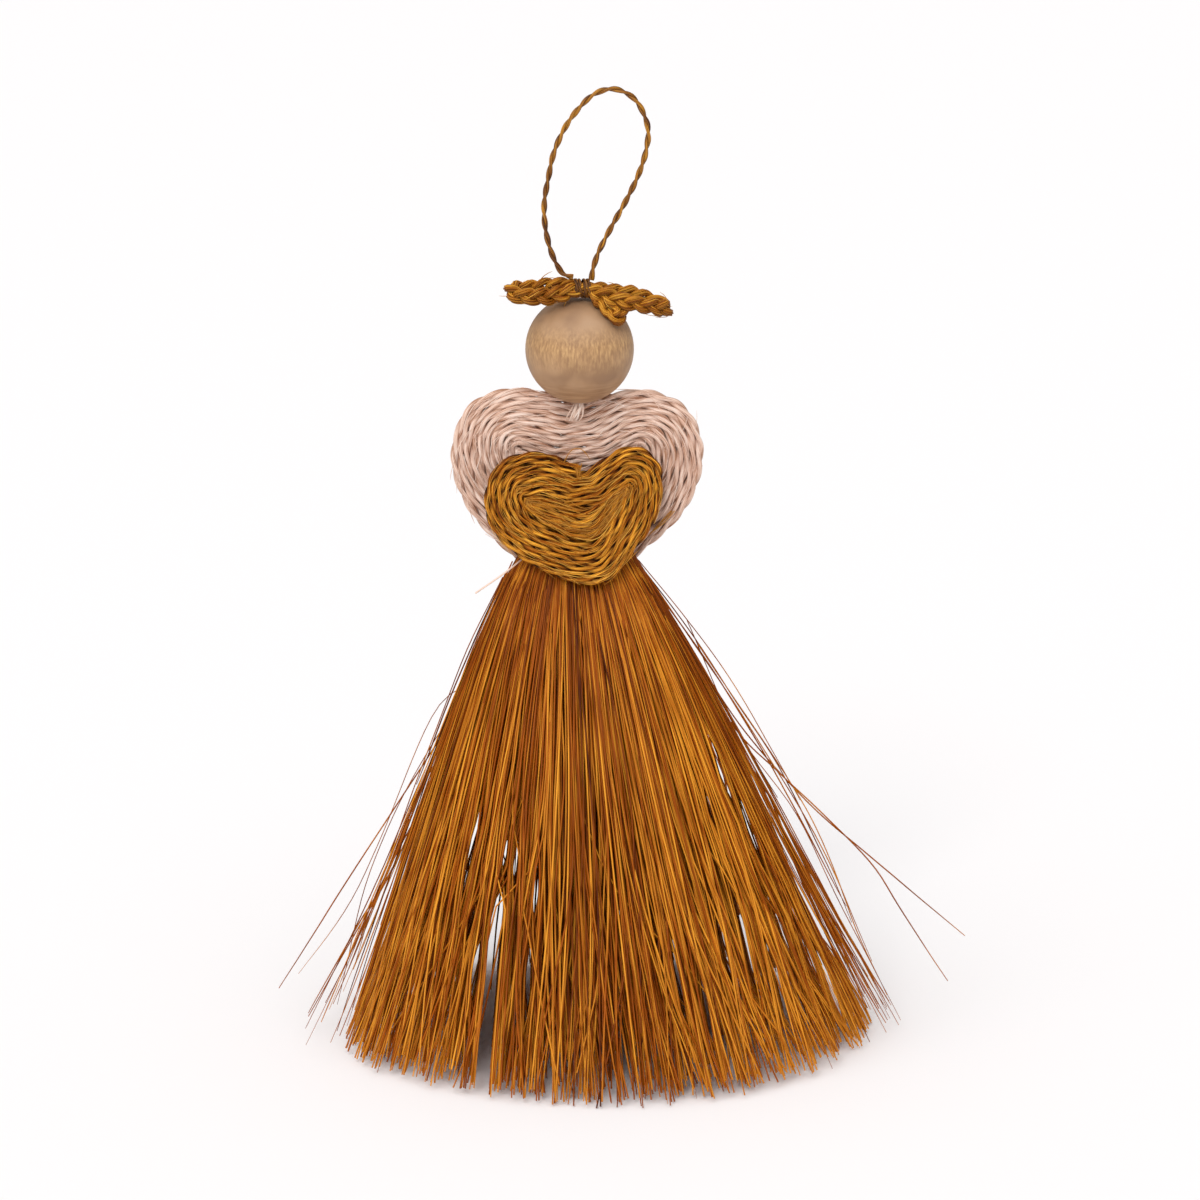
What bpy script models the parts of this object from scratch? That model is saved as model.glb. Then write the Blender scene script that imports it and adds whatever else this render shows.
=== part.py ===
"""Angel ornament of abaca fibre, standing on the cut ends of its skirt.

Metres, +Z up, the angel faces -Y. The origin is on the floor, in the middle of the hem.
A tassel of loose fibre is the skirt. Its gathered top is held between two hearts coiled from twine:
a pale one behind, the wings, and a golden one in front, the body. A wooden bead on a pale tie is the
head, a bow of plaited fibre lies on it, and a twisted cord rises from the bow as the hanging loop.
"""

import math
import random

import bmesh
import bpy
from mathutils import Matrix, Vector
from mathutils.geometry import interpolate_bezier

# Clearance between separate pieces.
GAP = 0.00035

# Head: a drilled wooden bead.
BEAD_DIAMETER = 0.020
BEAD_BORE_DIAMETER = 0.0032
HEAD_X = -0.0078
HEAD_ABOVE_NOTCH = 0.0014
BEAD_SIDES = 28
BEAD_RINGS = 13

# Pale tie that runs through the bead and over the notch of the wings.
TIE_DIAMETER = 0.0017
TIE_BELOW_NOTCH = 0.0015

# Wings: the pale heart behind. Its outline is in shares of half its width, from the tip upwards.
WING_WIDTH = 0.0472
WING_THICKNESS = 0.0028
WING_TIP_Z = 0.0818
WING_X = -0.0083
WING_ROWS = 8
WING_SIDE = [
    (0.0, 0.0), (0.27, 0.17), (0.53, 0.42), (0.73, 0.62), (0.89, 0.83), (0.975, 1.03), (1.0, 1.22),
    (0.97, 1.40), (0.90, 1.57), (0.775, 1.70), (0.52, 1.80), (0.26, 1.74), (0.0, 1.585),
]
WING_CORE = [(-0.47, 1.26), (-0.2, 1.10), (0.0, 1.04), (0.2, 1.10), (0.47, 1.26)]

# Body: the golden heart in front, a little lopsided as it was wound by hand.
BODY_WIDTH = 0.0332
BODY_THICKNESS = 0.0024
BODY_TIP_Z = 0.0863
BODY_X = -0.0044
BODY_ROWS = 9
BODY_RIGHT = [
    (0.0, 0.0), (0.16, 0.07), (0.30, 0.25), (0.44, 0.43), (0.61, 0.64), (0.71, 0.90), (0.745, 1.17),
    (0.70, 1.38), (0.53, 1.53), (0.33, 1.575), (0.09, 1.50), (-0.167, 1.42),
]
BODY_LEFT = [
    (-0.167, 1.42), (-0.42, 1.45), (-0.76, 1.486), (-1.04, 1.42), (-1.20, 1.24), (-1.255, 0.97),
    (-1.20, 0.72), (-1.06, 0.51), (-0.84, 0.33), (-0.535, 0.18), (-0.234, 0.062), (0.0, 0.0),
]
BODY_CORE = [(-0.76, 1.01), (-0.45, 0.86), (-0.15, 0.78), (0.10, 0.87), (0.28, 1.11)]

# How the coiled twine shows on both hearts.
COIL_POINTS = 40
COIL_REACH = 0.94
COIL_GROOVE = 0.00038
RIM_BULGE = 0.00025

# Skirt: the tassel of fibre. Widths and depths are half the tassel's.
GATHER_Z = 0.1020
GATHER_HALF_WIDTH = 0.0065
WAIST_Z = 0.0910
WAIST_HALF_WIDTH = 0.0113
WAIST_HALF_DEPTH = 0.0042
HEM_HALF_WIDTH = 0.0500
HEM_HALF_DEPTH = 0.0480
FLARE = 0.86
NECK_X = -0.0085
LOCKS = 32
LOCK_DEPTH = 0.075
HEM_RAGGED = 0.0040
SIDE_LIFT = 0.0022
FOOT_SHARE = 0.91
SKIRT_LEVELS = 9

# Stray fibres that stand off the skirt. Each leaves the ridge of one lock (numbered from the right
# side, turning to the back) at a height, and ends at a height and some way past the hem's edge.
# The last number is how far its middle stands above the straight line.
STRAY_DIAMETER = 0.0005
STRAYS = {
    "stray_fibre_right_high": (0, 0.0590, 0.0185, 0.0147, -0.0026),
    "stray_fibre_right_low": (-1, 0.0600, 0.0107, 0.0111, 0.0044),
    "stray_fibre_left_high": (16, 0.0570, 0.0080, 0.0147, 0.0010),
    "stray_fibre_left_low": (17, 0.0490, 0.0040, 0.0088, -0.0018),
}
STRAY_POINTS = 9

# Bow: a flat plait on edge, in two loops and a tail, pinched by its binding.
BOW_X = -0.0072
BOW_Y = -0.0030
BAND_WIDTH = 0.0028
BAND_THICKNESS = 0.0013
PLAIT_PERIOD = 0.0027
PLAIT_SWELL = 0.13
BAND_STEP = 0.0009
BOW_WAIST_RADIUS = 0.0011
PINCHED_WIDTH = 0.0019
PINCHED_THICKNESS = 0.0008
PINCH_LENGTH = 0.0042
BINDING_THREAD = 0.0004
BINDING_WIDTH = 0.0014
BINDING_TURNS = 3
BOW_ENDS_APART = 0.0006

# Routes of the bow's loops, in millimetres from the bow's middle.
LEFT_LOOP_MM = [
    (-4.0, -1.7, -0.2), (-9.0, -2.3, -0.4), (-12.7, -1.7, -0.3), (-14.2, 0.0, -0.1),
    (-12.7, 1.6, 0.0), (-9.0, 2.4, 0.2), (-4.0, 1.7, 0.3),
]
RIGHT_LOOP_MM = [
    (4.0, -1.6, -0.3), (8.5, -2.4, -1.0), (13.0, -2.0, -1.8), (15.9, -0.2, -2.3),
    (13.0, 1.7, -1.6), (8.5, 2.2, -0.6), (4.0, 1.6, 0.1),
]

# The bow's tail lies on the bead: directions from the bead's middle, from the bow to the tail's end.
TAIL_DIRECTIONS = [(0.34, -0.38, 0.87), (0.47, -0.46, 0.76), (0.57, -0.53, 0.62)]

# Hanging loop: the cord's route, chosen by hand, in millimetres from the floor's origin.
CORD_DIAMETER = 0.0011
CORD_POINT_SPACING = 2.6
CORD_ROUTE_MM = [
    (-9.0, -2.7, 144.3), (-10.2, -2.65, 144.6), (-11.3, -2.55, 145.5), (-12.95, -2.3, 148.9),
    (-14.0, -2.0, 153.4), (-14.15, -1.7, 157.9), (-13.4, -1.4, 162.4), (-12.4, -1.1, 166.9),
    (-10.4, -0.85, 171.4), (-7.95, -0.6, 174.8), (-5.2, -0.5, 177.4), (-2.0, -0.4, 178.4),
    (0.75, -0.45, 177.6), (2.95, -0.6, 175.6), (4.6, -0.85, 171.4), (4.2, -1.1, 166.9),
    (2.7, -1.4, 162.4), (0.5, -1.7, 157.9), (-2.0, -2.0, 153.4), (-4.3, -2.3, 148.9),
    (-5.3, -2.5, 145.9), (-5.65, -2.6, 143.75),
]

# Base colours of the four finishes.
GOLDEN_FIBRE = (0.56, 0.27, 0.035)
GOLDEN_TWINE = (0.50, 0.25, 0.040)
DARK_THREAD = (0.25, 0.11, 0.025)
PALE_TWINE = (0.72, 0.52, 0.42)
BEAD_WOOD = (0.55, 0.36, 0.21)

MM = 0.001


def clear_scene():
    for obj in list(bpy.data.objects):
        bpy.data.objects.remove(obj)


def material(name, colour, roughness):
    made = bpy.data.materials.new(name)
    made.use_nodes = True
    shader = made.node_tree.nodes["Principled BSDF"]
    shader.inputs["Base Color"].default_value = (*colour, 1.0)
    shader.inputs["Roughness"].default_value = roughness
    shader.inputs["Metallic"].default_value = 0.0
    return made


def add_object(name, bm, finish):
    """Closes a bmesh into a named object with its faces pointing out."""
    bmesh.ops.recalc_face_normals(bm, faces=bm.faces)
    mesh = bpy.data.meshes.new(name)
    bm.to_mesh(mesh)
    bm.free()
    mesh.shade_smooth()
    mesh.set_sharp_from_angle(angle=math.radians(40))
    mesh.materials.append(finish)
    obj = bpy.data.objects.new(name, mesh)
    bpy.context.scene.collection.objects.link(obj)
    return obj


def smooth_curve(points, per_span):
    """Points on a smooth curve through the given ones, as a chain of Bezier spans."""
    points = [Vector(p) for p in points]
    ends = [2 * points[0] - points[1], *points, 2 * points[-1] - points[-2]]
    line = []
    for before, start, end, after in zip(ends, ends[1:], ends[2:], ends[3:]):
        reach = (end - start).length / 3
        leaving = (end - before).normalized() * reach
        arriving = (after - start).normalized() * reach
        span = interpolate_bezier(start, start + leaving, end - arriving, end, per_span + 1)
        line += span[:-1]
    return [*line, points[-1].copy()]


def evenly(line, count):
    """count + 1 points at equal distances along a line of points."""
    lengths = [0.0]
    for a, b in zip(line, line[1:]):
        lengths.append(lengths[-1] + (b - a).length)
    found, span = [], 0
    for k in range(count + 1):
        target = lengths[-1] * k / count
        while span < len(line) - 2 and lengths[span + 1] < target:
            span += 1
        share = (target - lengths[span]) / max(lengths[span + 1] - lengths[span], 1e-12)
        found.append(line[span].lerp(line[span + 1], min(max(share, 0.0), 1.0)))
    return found


def nearest_on(line, point):
    """The point of a line of points that is nearest to a point."""
    best = None
    for a, b in zip(line, line[1:]):
        along = (point - a).dot(b - a) / (b - a).length_squared
        place = a.lerp(b, min(max(along, 0.0), 1.0))
        if best is None or (place - point).length < (best - point).length:
            best = place
    return best


def heart_outline(right, left, scale):
    """The heart's closed outline from the tip up its right side and down its left, evenly spaced."""
    half = COIL_POINTS // 2
    up = evenly(smooth_curve([(x, y, 0.0) for x, y in right], 8), half)
    down = evenly(smooth_curve([(x, y, 0.0) for x, y in left], 8), half)
    return [p * scale for p in [*up[:-1], *down[:-1]]]


def coil_face(bm, outline, core, rows, groove_y, crest_y):
    """One ridged face of a heart: a spiral of twine from the outline in to the core.

    Crest and groove lines follow the spiral, so each turn's inner groove is the next turn's outer one.
    Returns the outer boundary's vertices, with the end of the twine as a small step at the tip.
    """
    around = len(outline)

    def spiral(count, turns_in, y):
        verts = []
        for m in range(count):
            share = COIL_REACH * (m / around + turns_in) / rows
            spot = outline[m % around].lerp(core[m % around], share)
            verts.append(bm.verts.new((spot.x, y, spot.y)))
        return verts

    last = (rows - 1) * around
    groove = spiral(last + around + 1, 0.0, groove_y)
    crest = spiral(last + 1, 0.5, crest_y)
    for m in range(last):
        inner = m + around
        bm.faces.new((groove[m], groove[m + 1], crest[m + 1], crest[m]))
        bm.faces.new((crest[m], crest[m + 1], groove[inner + 1], groove[inner]))
    bm.faces.new([*groove[last : last + around + 1], crest[last]])
    return [*groove[: around + 1], crest[0]]


def bridge(bm, first, second):
    """Quads between two closed loops of vertices with the same count."""
    count = len(first)
    for i in range(count):
        j = (i + 1) % count
        bm.faces.new((first[i], first[j], second[j], second[i]))


def coiled_heart(name, finish, right, left, core_line, half_width, thickness, rows, both_sides):
    """A heart of coiled twine in its own plane: tip at the origin, +Z up, its front towards -Y."""
    outline = heart_outline(right, left, half_width)
    core_curve = smooth_curve([(x, y, 0.0) for x, y in core_line], 8)
    core_curve = [p * half_width for p in core_curve]
    core = [nearest_on(core_curve, p) for p in outline]
    bm = bmesh.new()
    front = coil_face(bm, outline, core, rows, -thickness + COIL_GROOVE, -thickness)
    middle = Vector((sum(p.x for p in outline), sum(p.y for p in outline))) / len(outline)
    waist = []
    for vert in front:
        away = (Vector((vert.co.x, vert.co.z)) - middle).normalized() * RIM_BULGE
        waist.append(bm.verts.new((vert.co.x + away.x, -thickness / 2, vert.co.z + away.y)))
    waist[-1].co = (front[-1].co.x, -thickness / 2, front[-1].co.z)
    if both_sides:
        back = coil_face(bm, outline, core, rows, -COIL_GROOVE, 0.0)
    else:
        back = [bm.verts.new((vert.co.x, 0.0, vert.co.z)) for vert in front]
        bm.faces.new(back)
    bridge(bm, front, waist)
    bridge(bm, waist, back)
    return add_object(name, bm, finish)


def lean(height, top_y, tip_y):
    """The turn about X that takes a plane from tip_y at its tip to top_y at a height along it."""
    return -math.asin((top_y - tip_y) / height)


def wing_places():
    """The wings' front plane, which clears the tassel at the tip and the tie at the notch.

    Returns its tip, its turn about X, and a function from Z to Y on it.
    """
    tip_y = WAIST_HALF_DEPTH + GAP
    turn = lean(WING_SIDE[-1][1] * WING_WIDTH / 2, TIE_DIAMETER / 2 + GAP, tip_y)
    tip = Vector((WING_X, tip_y, WING_TIP_Z))
    return tip, turn, lambda z: tip_y - math.tan(turn) * (z - WING_TIP_Z)


def body_places():
    """The same for the back plane of the golden heart, whose lobes rest on the wings."""
    height = max(share for _, share in BODY_RIGHT) * BODY_WIDTH / 2
    tip_y = -(WAIST_HALF_DEPTH + GAP)
    top_y = wing_places()[2](BODY_TIP_Z + height) - GAP
    turn = lean(height, top_y, tip_y)
    tip = Vector((BODY_X, tip_y, BODY_TIP_Z))
    return tip, turn, lambda z: tip_y - math.tan(turn) * (z - BODY_TIP_Z)


def build_wings(finish):
    tip, turn, _ = wing_places()
    left = [(-x, y) for x, y in reversed(WING_SIDE)]
    wings = coiled_heart(
        "wing_heart", finish, WING_SIDE, left, WING_CORE, WING_WIDTH / 2, WING_THICKNESS, WING_ROWS, True
    )
    # The plate is made behind its front plane, so it moves back by its thickness first.
    wings.data.transform(Matrix.Translation((0.0, WING_THICKNESS, 0.0)))
    wings.location = tip
    wings.rotation_euler.x = turn


def build_body(finish):
    tip, turn, _ = body_places()
    body = coiled_heart(
        "body_heart", finish, BODY_RIGHT, BODY_LEFT, BODY_CORE, BODY_WIDTH / 2, BODY_THICKNESS, BODY_ROWS, False
    )
    body.location = tip
    body.rotation_euler.x = turn


def notch_z():
    """Height of the notch between the wings."""
    tip, turn, _ = wing_places()
    return tip.z + WING_SIDE[-1][1] * WING_WIDTH / 2 * math.cos(turn)


def bead_centre():
    return Vector((HEAD_X, 0.0, notch_z() + HEAD_ABOVE_NOTCH + BEAD_DIAMETER / 2))


def bow_centre():
    reach = BOW_WAIST_RADIUS + GAP + BINDING_THREAD
    rise = math.sqrt((BEAD_DIAMETER / 2 + GAP + reach) ** 2 - BOW_Y**2)
    return Vector((BOW_X, BOW_Y, bead_centre().z + rise))


def turned(bm, profile, sides):
    """A ring turned about Z from a closed profile of (radius, height) points."""
    loops = []
    for k in range(sides):
        angle = math.tau * k / sides
        loops.append([bm.verts.new((r * math.cos(angle), r * math.sin(angle), h)) for r, h in profile])
    for k in range(sides):
        bridge(bm, loops[k], loops[(k + 1) % sides])


def build_bead(finish):
    radius = BEAD_DIAMETER / 2
    bore = BEAD_BORE_DIAMETER / 2
    pole = math.asin(bore / radius)
    profile = []
    for k in range(BEAD_RINGS + 1):
        angle = pole + (math.pi - 2 * pole) * k / BEAD_RINGS
        profile.append((radius * math.sin(angle), radius * math.cos(angle)))
    bm = bmesh.new()
    turned(bm, profile, BEAD_SIDES)
    bead = add_object("head_bead", bm, finish)
    bead.location = bead_centre()


def build_tie(finish):
    """The pale tie: through the bead's bore, and down over the notch in front of the wings."""
    low = notch_z() - TIE_BELOW_NOTCH
    high = bow_centre().z - BOW_WAIST_RADIUS - GAP - BINDING_THREAD - GAP
    bm = bmesh.new()
    bmesh.ops.create_cone(
        bm, cap_ends=True, segments=12, radius1=TIE_DIAMETER / 2, radius2=TIE_DIAMETER / 2, depth=high - low
    )
    tie = add_object("neck_tie", bm, finish)
    tie.location = (HEAD_X, 0.0, (low + high) / 2)


def build_binding(finish):
    """Turns of dark thread round the waist of the bow."""
    inner = BOW_WAIST_RADIUS + GAP
    half = BINDING_WIDTH / 2
    profile = [(inner, half), (inner, -half)]
    for k in range(BINDING_TURNS):
        start = -half + BINDING_WIDTH * k / BINDING_TURNS
        for share, rise in ((0.0, 0.55), (0.5, 1.0)):
            profile.append((inner + BINDING_THREAD * rise, start + BINDING_WIDTH / BINDING_TURNS * share))
    profile.append((inner + BINDING_THREAD * 0.55, half))
    bm = bmesh.new()
    turned(bm, profile, 20)
    binding = add_object("bow_binding", bm, finish)
    binding.location = bow_centre()
    binding.rotation_euler.y = math.pi / 2


def band(bm, route, thin_side):
    """A flat plait along a route: scalloped where its strands cross, and pinched at the bow's waist.

    thin_side gives the way that the plait's thin side faces, from a place and the way ahead there.
    """
    line = smooth_curve(route, 12)
    length = sum((b - a).length for a, b in zip(line, line[1:]))
    line = evenly(line, round(length / BAND_STEP))
    loops = []
    for k, spot in enumerate(line):
        ahead = line[min(k + 1, len(line) - 1)] - line[max(k - 1, 0)]
        side = thin_side(spot, ahead)
        up = side.cross(ahead).normalized()
        open_share = min(spot.length / PINCH_LENGTH, 1.0)
        open_share = open_share * open_share * (3 - 2 * open_share)
        width = PINCHED_WIDTH + (BAND_WIDTH - PINCHED_WIDTH) * open_share
        thick = PINCHED_THICKNESS + (BAND_THICKNESS - PINCHED_THICKNESS) * open_share
        wave = PLAIT_SWELL * open_share * math.cos(math.tau * k * BAND_STEP / PLAIT_PERIOD)
        upper, lower = 1 + wave, 1 - wave
        section = [
            (0.5, 0.0, upper), (0.34, 0.42, upper), (0.0, 0.34, 1.0), (-0.34, 0.42, lower),
            (-0.5, 0.0, lower), (-0.34, -0.42, upper), (0.0, -0.34, 1.0), (0.34, -0.42, lower),
        ]
        loops.append(
            [bm.verts.new(spot + up * (u * width * swell) + side * (w * thick * swell)) for u, w, swell in section]
        )
    for first, second in zip(loops, loops[1:]):
        bridge(bm, first, second)
    bm.faces.new(loops[0])
    bm.faces.new(loops[-1])


def build_bow(finish):
    """The bow: two loops and a tail of plait, joined in one lump at the waist."""
    bm = bmesh.new()
    bmesh.ops.create_icosphere(bm, subdivisions=2, radius=BOW_WAIST_RADIUS)
    bow = add_object("bow", bm, finish)
    bow.location = bow_centre()
    front = Vector((0.0, -BOW_ENDS_APART, 0.0))
    left = [front, *(Vector(p) * MM for p in LEFT_LOOP_MM), -front]
    right = [front, *(Vector(p) * MM for p in RIGHT_LOOP_MM), -front]
    bead = bead_centre() - bow_centre()
    off_bead = BEAD_DIAMETER / 2 + GAP + BAND_THICKNESS * (0.42 + PLAIT_SWELL)
    past_binding = Vector((BINDING_WIDTH / 2 + GAP, 0.0, 0.0))
    tail = [Vector(), past_binding, *(bead + Vector(d).normalized() * off_bead for d in TAIL_DIRECTIONS)]

    def level_side(spot, ahead):
        return ahead.cross(Vector((0.0, 0.0, 1.0))).normalized()

    def bead_side(spot, ahead):
        away = spot - bead
        return (away - ahead * away.dot(ahead) / ahead.length_squared).normalized()

    for name, route, side in (
        ("bow_left_loop", left, level_side),
        ("bow_right_loop", right, level_side),
        ("bow_tail", tail, bead_side),
    ):
        bm = bmesh.new()
        band(bm, route, side)
        part = add_object(name, bm, finish)
        part.location = bow_centre()
        part.hide_render = True
        part.display_type = "WIRE"
        joined = bow.modifiers.new(name, "BOOLEAN")
        joined.operation = "UNION"
        joined.object = part


def skirt_section(z):
    """The tassel at a height: its middle (x, y), half its width and half its depth."""
    drop = max(0.0, (WAIST_Z - z) / WAIST_Z)
    if z > WAIST_Z:
        rise = (z - WAIST_Z) / (GATHER_Z - WAIST_Z)
        half_width = WAIST_HALF_WIDTH + (GATHER_HALF_WIDTH - WAIST_HALF_WIDTH) * rise**0.6
    else:
        half_width = WAIST_HALF_WIDTH + (HEM_HALF_WIDTH - WAIST_HALF_WIDTH) * drop**FLARE
    front = tassel_y(z, BODY_TIP_Z, body_places()[2](z) + GAP, -1.0)
    back = tassel_y(z, WING_TIP_Z, wing_places()[2](z) - GAP, 1.0)
    centre = Vector((NECK_X * (1.0 - drop), (front + back) / 2, z))
    return centre, half_width, (back - front) / 2


def tassel_y(z, tip_z, held_y, side):
    """Where the tassel's front or back is: held by a heart above its tip, and flaring below it."""
    if z >= tip_z:
        return held_y
    flare = ((tip_z - z) / tip_z) ** FLARE
    return side * (WAIST_HALF_DEPTH + (HEM_HALF_DEPTH - WAIST_HALF_DEPTH) * flare)


def lock_shape():
    """Each lock's ridge, groove and end: its share of the full width, its swing and its height.

    The four locks on the axes reach the full width, so that the hem is as wide as its size says.
    """
    rng = random.Random(11)
    around = 2 * LOCKS
    shape = []
    for k in range(around):
        angle = math.tau * k / around
        lifted = SIDE_LIFT * math.cos(angle) ** 2
        if k % 2:
            swing = 0.35 * (rng.random() - 0.5) * math.tau / around
            width = 1.0 - LOCK_DEPTH * (0.6 + 0.4 * rng.random())
            end = lifted + HEM_RAGGED * (0.5 + 0.5 * rng.random())
        else:
            swing = 0.0
            width = 1.0 if k % (around // 4) == 0 else 1.0 - 0.25 * LOCK_DEPTH * rng.random()
            end = lifted + HEM_RAGGED * (0.06 + 0.2 * rng.random())
        shape.append((angle + swing, width, end))
    return shape


def on_skirt(z, angle, width):
    """A point of the skirt's surface at a height, on a lock of a given angle and share of the width."""
    centre, half_width, half_depth = skirt_section(z)
    deep = min(1.0, max(0.0, (WAIST_Z - z) / (0.3 * WAIST_Z)))
    share = 1.0 + (width - 1.0) * deep
    return centre + Vector((half_width * share * math.cos(angle), half_depth * share * math.sin(angle), 0.0))


def build_skirt(finish):
    """The tassel: locks of fibre that fan from the gather to a ragged hem, on a flat foot of cut ends."""
    heights = [GATHER_Z, (GATHER_Z + BODY_TIP_Z) / 2, BODY_TIP_Z]
    heights += [WING_TIP_Z * (1.0 - level / SKIRT_LEVELS) for level in range(SKIRT_LEVELS + 1)]
    locks = lock_shape()
    bm = bmesh.new()
    loops = []
    for z in heights:
        loops.append([bm.verts.new(on_skirt(z, angle, width)) for angle, width, _ in locks])
    for vert, (_, _, end) in zip(loops[-1], locks):
        vert.co.z = end
    foot = [bm.verts.new((vert.co.x * FOOT_SHARE, vert.co.y * FOOT_SHARE, 0.0)) for vert in loops[-1]]
    for first, second in zip(loops, [*loops[1:], foot]):
        bridge(bm, first, second)
    bm.faces.new(loops[0])
    bm.faces.new(foot)
    add_object("skirt", bm, finish)


def tube(name, points, diameter, resolution, finish):
    """A round tube with closed ends along a line of points."""
    curve = bpy.data.curves.new(name, "CURVE")
    curve.dimensions = "3D"
    curve.bevel_depth = diameter / 2
    curve.bevel_resolution = resolution
    curve.use_fill_caps = True
    spline = curve.splines.new("POLY")
    spline.points.add(len(points) - 1)
    for point, place in zip(spline.points, points):
        point.co = (*place, 1.0)
    curve.materials.append(finish)
    obj = bpy.data.objects.new(name, curve)
    bpy.context.scene.collection.objects.link(obj)
    return obj


def build_strays(finish):
    """Single fibres that leave the ridge of a lock and bend away from the skirt."""
    locks = lock_shape()
    for name, (lock, start_z, end_z, past_hem, rise) in STRAYS.items():
        angle, width, _ = locks[2 * lock]
        away = Vector((math.cos(angle), math.sin(angle), 0.0))
        start = on_skirt(start_z, angle, width) + away * (STRAY_DIAMETER / 2 + GAP)
        end = Vector(((HEM_HALF_WIDTH + past_hem) * math.copysign(1.0, away.x), start.y, end_z))
        middle = start.lerp(end, 0.5) + Vector((0.0, 0.0, rise))
        line = evenly(smooth_curve([start, middle, end], 12), STRAY_POINTS - 1)
        tube(name, line, STRAY_DIAMETER, 1, finish)


def build_cord(finish):
    """The hanging loop, from the bow's waist up and round and back to it."""
    route = smooth_curve([Vector(p) * MM for p in CORD_ROUTE_MM], 12)
    length = sum((b - a).length for a, b in zip(route, route[1:]))
    line = evenly(route, round(length / (CORD_POINT_SPACING * CORD_DIAMETER)))
    tube("hanging_cord", line, CORD_DIAMETER, 2, finish)


def main():
    clear_scene()
    fibre = material("golden_fibre", GOLDEN_FIBRE, 0.45)
    twine = material("golden_twine", GOLDEN_TWINE, 0.55)
    thread = material("dark_thread", DARK_THREAD, 0.6)
    pale = material("pale_twine", PALE_TWINE, 0.6)
    wood = material("bead_wood", BEAD_WOOD, 0.5)
    build_skirt(fibre)
    build_strays(fibre)
    build_wings(pale)
    build_body(twine)
    build_bead(wood)
    build_tie(pale)
    build_bow(twine)
    build_binding(thread)
    build_cord(twine)


main()
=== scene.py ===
import math

import bmesh
import bpy
import numpy as np
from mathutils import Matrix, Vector


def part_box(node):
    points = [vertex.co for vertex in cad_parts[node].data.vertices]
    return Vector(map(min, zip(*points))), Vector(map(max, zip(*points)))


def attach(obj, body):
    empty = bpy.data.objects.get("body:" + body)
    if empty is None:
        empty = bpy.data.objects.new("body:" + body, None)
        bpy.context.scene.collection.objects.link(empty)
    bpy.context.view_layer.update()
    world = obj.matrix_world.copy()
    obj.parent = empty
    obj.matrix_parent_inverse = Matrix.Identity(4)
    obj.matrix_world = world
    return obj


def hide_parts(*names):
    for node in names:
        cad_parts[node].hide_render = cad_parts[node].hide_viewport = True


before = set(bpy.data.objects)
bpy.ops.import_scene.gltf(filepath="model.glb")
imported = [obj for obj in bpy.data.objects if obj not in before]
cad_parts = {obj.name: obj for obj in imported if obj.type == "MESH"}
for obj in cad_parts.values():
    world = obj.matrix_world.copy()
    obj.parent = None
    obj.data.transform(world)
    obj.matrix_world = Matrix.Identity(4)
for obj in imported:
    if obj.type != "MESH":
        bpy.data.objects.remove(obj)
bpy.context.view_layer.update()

mm = 0.001
print("frame loaded:", len(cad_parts), "nodes")


# studio

studio = {
    "elevation": 14.0,          # degrees above the floor
    "distance": 1.0,            # from the lens to the ornament
    "viewWidth": 0.222,         # what the frame spans at the ornament
    "lookAt": (-0.00407, 0.0, 0.08313),
    "floorSize": 3.0,
    "floorColour": (0.950, 0.930, 0.934),
    "skyColour": (1.0, 0.995, 0.99),
    "skyStrength": 0.42,
    "lights": {                 # degrees turned about X and Z, strength, degrees of spread
        "roofLight": ((26.0, -20.0), 1.55, 80.0),
        "keyLight": ((52.0, -14.0), 1.15, 26.0),
    },
}


def pointAt(obj, target):
    away = Vector(target) - obj.location
    obj.rotation_euler = away.to_track_quat("-Z", "Y").to_euler()


def makeStudio():
    scene = bpy.context.scene
    lens = bpy.data.cameras.new("camera")
    lens.sensor_width = 36.0
    lens.lens = lens.sensor_width * studio["distance"] / studio["viewWidth"]
    lens.clip_start = 0.01
    camera = bpy.data.objects.new("camera", lens)
    scene.collection.objects.link(camera)
    tilt = math.radians(studio["elevation"])
    away = Vector((0.0, -math.cos(tilt), math.sin(tilt)))
    camera.location = Vector(studio["lookAt"]) + away * studio["distance"]
    pointAt(camera, studio["lookAt"])
    scene.camera = camera

    half = studio["floorSize"] / 2
    mesh = bpy.data.meshes.new("floor")
    mesh.from_pydata([(-half, -half, 0), (half, -half, 0), (half, half, 0), (-half, half, 0)], [], [(0, 1, 2, 3)])
    floor = bpy.data.objects.new("floor", mesh)
    scene.collection.objects.link(floor)
    paint = bpy.data.materials.new("floorPaint")
    paint.use_nodes = True
    shader = paint.node_tree.nodes["Principled BSDF"]
    shader.inputs["Base Color"].default_value = (*studio["floorColour"], 1.0)
    shader.inputs["Roughness"].default_value = 0.9
    mesh.materials.append(paint)

    world = bpy.data.worlds.new("sky")
    world.use_nodes = True
    sky = world.node_tree.nodes["Background"]
    sky.inputs["Color"].default_value = (*studio["skyColour"], 1.0)
    sky.inputs["Strength"].default_value = studio["skyStrength"]
    scene.world = world
    for name, ((tip, turn), strength, spread) in studio["lights"].items():
        lamp = bpy.data.lights.new(name, "SUN")
        lamp.energy = strength
        lamp.angle = math.radians(spread)
        light = bpy.data.objects.new(name, lamp)
        light.rotation_euler = (math.radians(tip), 0.0, math.radians(turn))
        scene.collection.objects.link(light)
    scene.view_settings.view_transform = "Standard"


makeStudio()
print("studio set")


# lines: numpy rows of points, in metres

def lineLengths(line):
    steps = np.linalg.norm(np.diff(line, axis=0), axis=1)
    return np.concatenate([[0.0], np.cumsum(steps)])


def evenly(line, step):
    # the same line with points at equal distances
    lengths = lineLengths(line)
    count = max(2, int(round(lengths[-1] / step)) + 1)
    places = np.linspace(0.0, lengths[-1], count)
    return np.stack([np.interp(places, lengths, line[:, axis]) for axis in range(line.shape[1])], axis=1)


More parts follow.
